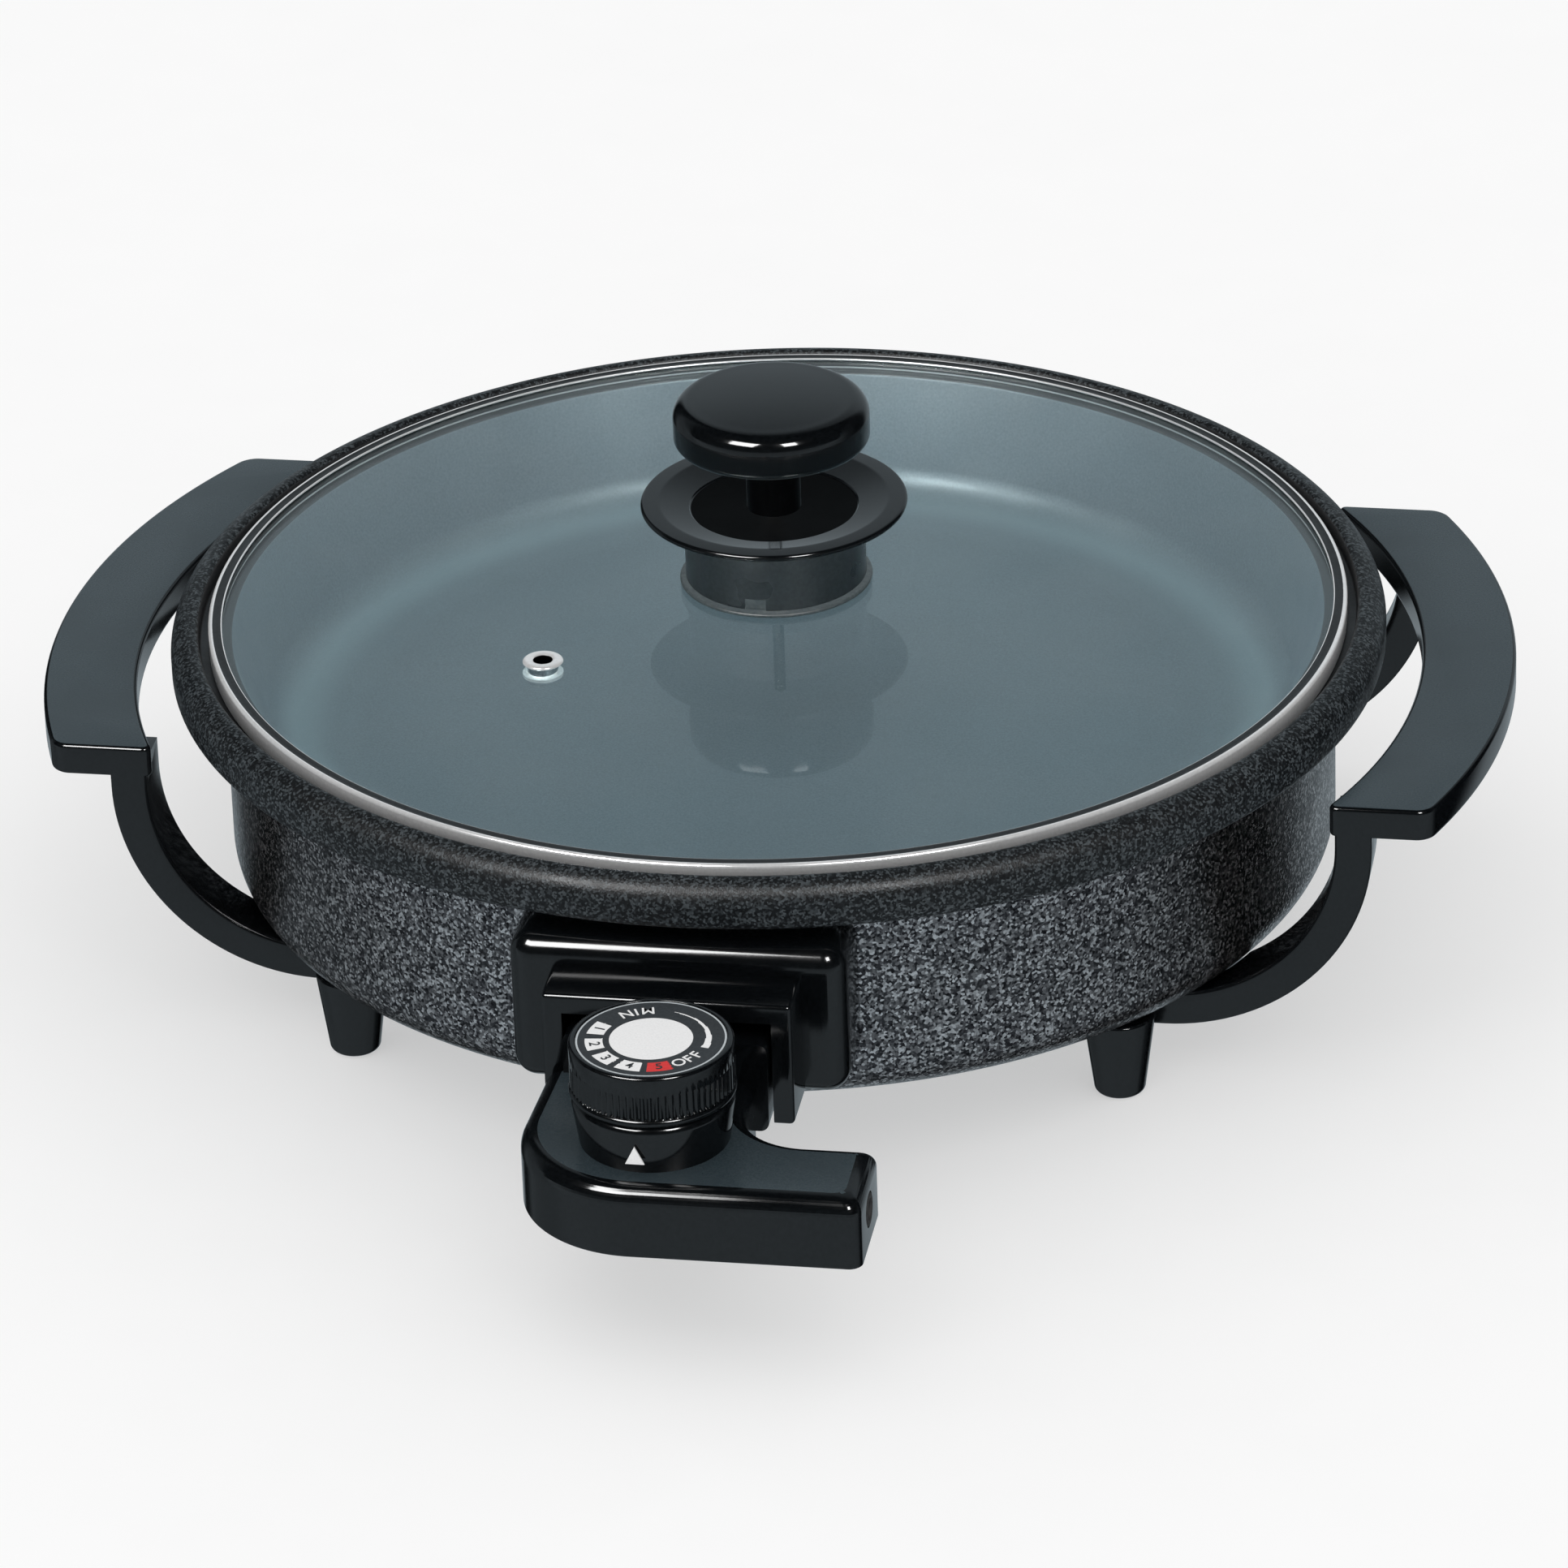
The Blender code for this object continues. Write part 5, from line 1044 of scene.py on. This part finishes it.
def face_disc():
    """The face plate as rings of small faces, each with its own print."""
    low, high = span("dial_face_plate")
    reaches = [DISC_RADIUS] + [0.0140 + 0.00025 * step for step in range(28)]
    reaches += [0.0215, 0.0225, FACE_RADIUS - EDGE_LINE, FACE_RADIUS]
    made = bmesh.new()
    bmesh.ops.create_circle(made, cap_ends=True, segments=360, radius=reaches[0])
    edges = made.edges[:]
    for inner, outer in zip(reaches, reaches[1:]):
        grown = bmesh.ops.extrude_edge_only(made, edges=edges)["geom"]
        verts = [part for part in grown if isinstance(part, bmesh.types.BMVert)]
        edges = [part for part in grown if isinstance(part, bmesh.types.BMEdge)]
        bmesh.ops.scale(made, verts=verts, vec=(outer / inner, outer / inner, 1.0))
    for face in made.faces:
        centre = face.calc_center_median()
        angle = math.degrees(math.atan2(centre.y, centre.x)) % 360.0
        face.material_index = mark_at(angle, math.hypot(centre.x, centre.y))
    grown = bmesh.ops.extrude_face_region(made, geom=made.faces[:])["geom"]
    bmesh.ops.translate(made, verts=[part for part in grown if isinstance(part, bmesh.types.BMVert)],
                        vec=(0.0, 0.0, low.z - high.z))
    return moved(made, x=DIAL_X, y=DIAL_Y, z=high.z)


def figures(letters, angles, reach, size):
    """Raised print for the dial, each letter at its angle with its top towards the middle."""
    whole = bmesh.new()
    top = span("dial_face_plate")[1].z
    for letter, angle in zip(letters, angles):
        curve = bpy.data.curves.new("figure", "FONT")
        curve.body, curve.size = letter, size
        curve.align_x, curve.align_y = "CENTER", "CENTER"
        curve.extrude, curve.offset = 0.00003, 0.00006
        item = add_object("figure", curve)
        mesh = bpy.data.meshes.new_from_object(item.evaluated_get(bpy.context.evaluated_depsgraph_get()))
        radians = math.radians(angle)
        spot = (DIAL_X + reach * math.cos(radians), DIAL_Y + reach * math.sin(radians), top + 0.00005)
        mesh.transform(Matrix.Translation(spot) @ Matrix.Rotation(radians + math.pi / 2, 4, "Z"))
        whole.from_mesh(mesh)
        bpy.data.objects.remove(item, do_unlink=True)
        bpy.data.curves.remove(curve)
        bpy.data.meshes.remove(mesh)
    return whole


def make_dial():
    """Ribbed cup, printed face and its figures."""
    piece("dial_cup", dial_cup(), [PHENOLIC], "dial", "black_phenolic", "dial_knob", sharp=36.0)
    piece("dial_face", face_disc(), [DIAL_DARK, PRINT_WHITE, PRINT_RED, PRINT_GREY], "dial", "dial_print",
          "dial_face_plate")
    words = figures("MINOFF", LETTER_ANGLES, 0.0178, 0.0058)
    piece("dial_words", words, [PRINT_WHITE], "dial", "white_mark")
    numbers = figures("12345", BOX_ANGLES, 0.0177, 0.0048)
    piece("dial_numbers", numbers, [DIAL_DARK], "dial", "dial_print")


def refinish_nodes():
    """Give the CAD pieces that stay their finished materials."""
    kept = {
        "heating_element": SHEATH, "block_screw_left": ZINC, "block_screw_right": ZINC,
        "contact_carrier": CERAMIC, "switch_plate": ZINC, "bimetal_blade": BIMETAL,
        "dial_spindle": ZINC, "knob_washer": STEEL, "pointer_mark": PRINT_WHITE,
    }
    for name, paint in kept.items():
        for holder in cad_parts[name].material_slots:
            holder.material = paint


# Studio

AZIMUTH = math.radians(10.3)
ELEVATION = math.radians(26.97)
ROLL = math.radians(-2.0)
DISTANCE = 3.0
AIM_HEIGHT = 0.098


def place_camera():
    """A long lens from the front, a little to the right."""
    back = Vector((math.sin(AZIMUTH) * math.cos(ELEVATION), -math.cos(AZIMUTH) * math.cos(ELEVATION),
                   math.sin(ELEVATION)))
    data = bpy.data.cameras.new("camera")
    data.lens = 206.55
    data.sensor_width = 36.0
    data.shift_x, data.shift_y = 0.003, -0.083
    item = add_object("camera", data)
    item.location = Vector((0.0, AXIS_Y, AIM_HEIGHT)) + back * DISTANCE
    item.rotation_mode = "QUATERNION"
    item.rotation_quaternion = (-back).to_track_quat("-Z", "Y") @ Quaternion((0.0, 0.0, 1.0), ROLL)
    bpy.context.scene.camera = item


def make_floor():
    """A wide pale floor that the glossy pieces don't mirror."""
    made = bmesh.new()
    bmesh.ops.create_circle(made, cap_ends=True, segments=96, radius=16.0)
    mesh = bpy.data.meshes.new("floor")
    made.to_mesh(mesh)
    made.free()
    paint = finish("floor_pale", grey(0.455, 0.465), 6.0, (0.8, 0.9))
    shader = paint.node_tree.nodes["Principled BSDF"]
    shader.inputs["Emission Color"].default_value = (1.0, 1.0, 1.0, 1.0)
    shader.inputs["Emission Strength"].default_value = 0.485
    mesh.materials.append(paint)
    item = add_object("floor", mesh)
    item.visible_glossy = False


def softbox(name, azimuth, elevation, size, power, reach=2.2):
    """A rectangular lamp aimed at the pan that shows only in gloss; angles are in degrees."""
    turn, rise = math.radians(azimuth), math.radians(elevation)
    way = Vector((math.sin(turn) * math.cos(rise), -math.cos(turn) * math.cos(rise), math.sin(rise)))
    data = bpy.data.lights.new(name, "AREA")
    data.shape = "RECTANGLE"
    data.size, data.size_y = size
    data.energy = power
    item = add_object(name, data)
    item.location = Vector((0.0, AXIS_Y, AIM_HEIGHT)) + way * reach
    item.rotation_euler = (-way).to_track_quat("-Z", "Y").to_euler()
    item.visible_diffuse = False


def ramp_of(tree, value, stops):
    """A colour ramp through (position, shade) stops."""
    ramp = add(tree, "ValToRGB", {"Fac": value})
    ramp.color_ramp.interpolation = "EASE"
    elements = ramp.color_ramp.elements
    while len(elements) < len(stops):
        elements.new(0.5)
    for element, (position, shade) in zip(elements, stops):
        element.position = position
        element.color = (shade, shade, shade, 1.0)
    return ramp.outputs["Color"]


def times(tree, left, right):
    """Multiply two colours, each a socket or a value."""
    return add(tree, "Mix", {"Factor": 1.0, "A": left, "B": right}, data_type="RGBA",
               blend_type="MULTIPLY").outputs["Result"]


# Brightness of what glossy pieces mirror: over the top from back to front, and all the way round
STUDIO_ARCH = ((0.0, 0.40), (0.25, 0.30), (0.42, 0.48), (0.49, 0.40), (0.525, 0.05), (0.62, 0.015),
               (0.80, 0.02), (0.87, 0.26), (0.93, 0.42), (1.0, 0.38))
STUDIO_PANELS = ((0.0, 1.0), (0.075, 1.0), (0.10, 0.0), (0.125, 0.05), (0.16, 0.45), (0.30, 1.0),
                 (0.74, 1.0), (0.80, 0.15), (0.84, 0.0), (0.885, 0.0), (0.925, 1.0), (1.0, 1.0))
STUDIO_TINT = (0.84, 0.98, 1.06, 1.0)


def make_surround():
    """Even white light for the matt surfaces, and a shaded studio for the glossy ones to mirror."""
    world = bpy.data.worlds.new("studio")
    bpy.context.scene.world = world
    world.use_nodes = True
    tree = world.node_tree
    tree.nodes.clear()
    apart = add(tree, "SeparateXYZ", {"Vector": add(tree, "TexCoord").outputs["Generated"]}).outputs
    front = add(tree, "Math", {0: apart["Y"], 1: -1.0}, operation="MULTIPLY").outputs["Value"]
    mirrored = STUDIO_TINT
    for way, stops in (("Z", STUDIO_ARCH), ("X", STUDIO_PANELS)):
        angle = add(tree, "Math", {0: apart[way], 1: front}, operation="ARCTAN2").outputs["Value"]
        mirrored = times(tree, ramp_of(tree, stretch(tree, angle, -math.pi, math.pi), stops), mirrored)
    glossy = add(tree, "LightPath").outputs["Is Glossy Ray"]
    shown = add(tree, "Mix", {"Factor": glossy, "A": (1.0, 1.0, 1.0, 1.0), "B": mirrored}, data_type="RGBA")
    light = add(tree, "Background", {"Color": shown.outputs["Result"]})
    add(tree, "OutputWorld", {"Surface": light.outputs["Background"]})


make_casting()
make_cover()
make_glass()
make_band()
make_vent()
make_knob()
make_handles()
make_feet()
make_screws()
make_connector()
make_terminals()
make_case()
make_case_floor()
make_probe()
make_contacts()
make_bush()
make_dial()
refinish_nodes()

make_floor()
make_surround()
softbox("box_left", -30.0, 47.0, (1.0, 0.75), 62.0)
softbox("box_right", 34.0, 45.0, (0.5, 0.6), 32.0)
place_camera()
bpy.context.scene.view_settings.view_transform = "Standard"
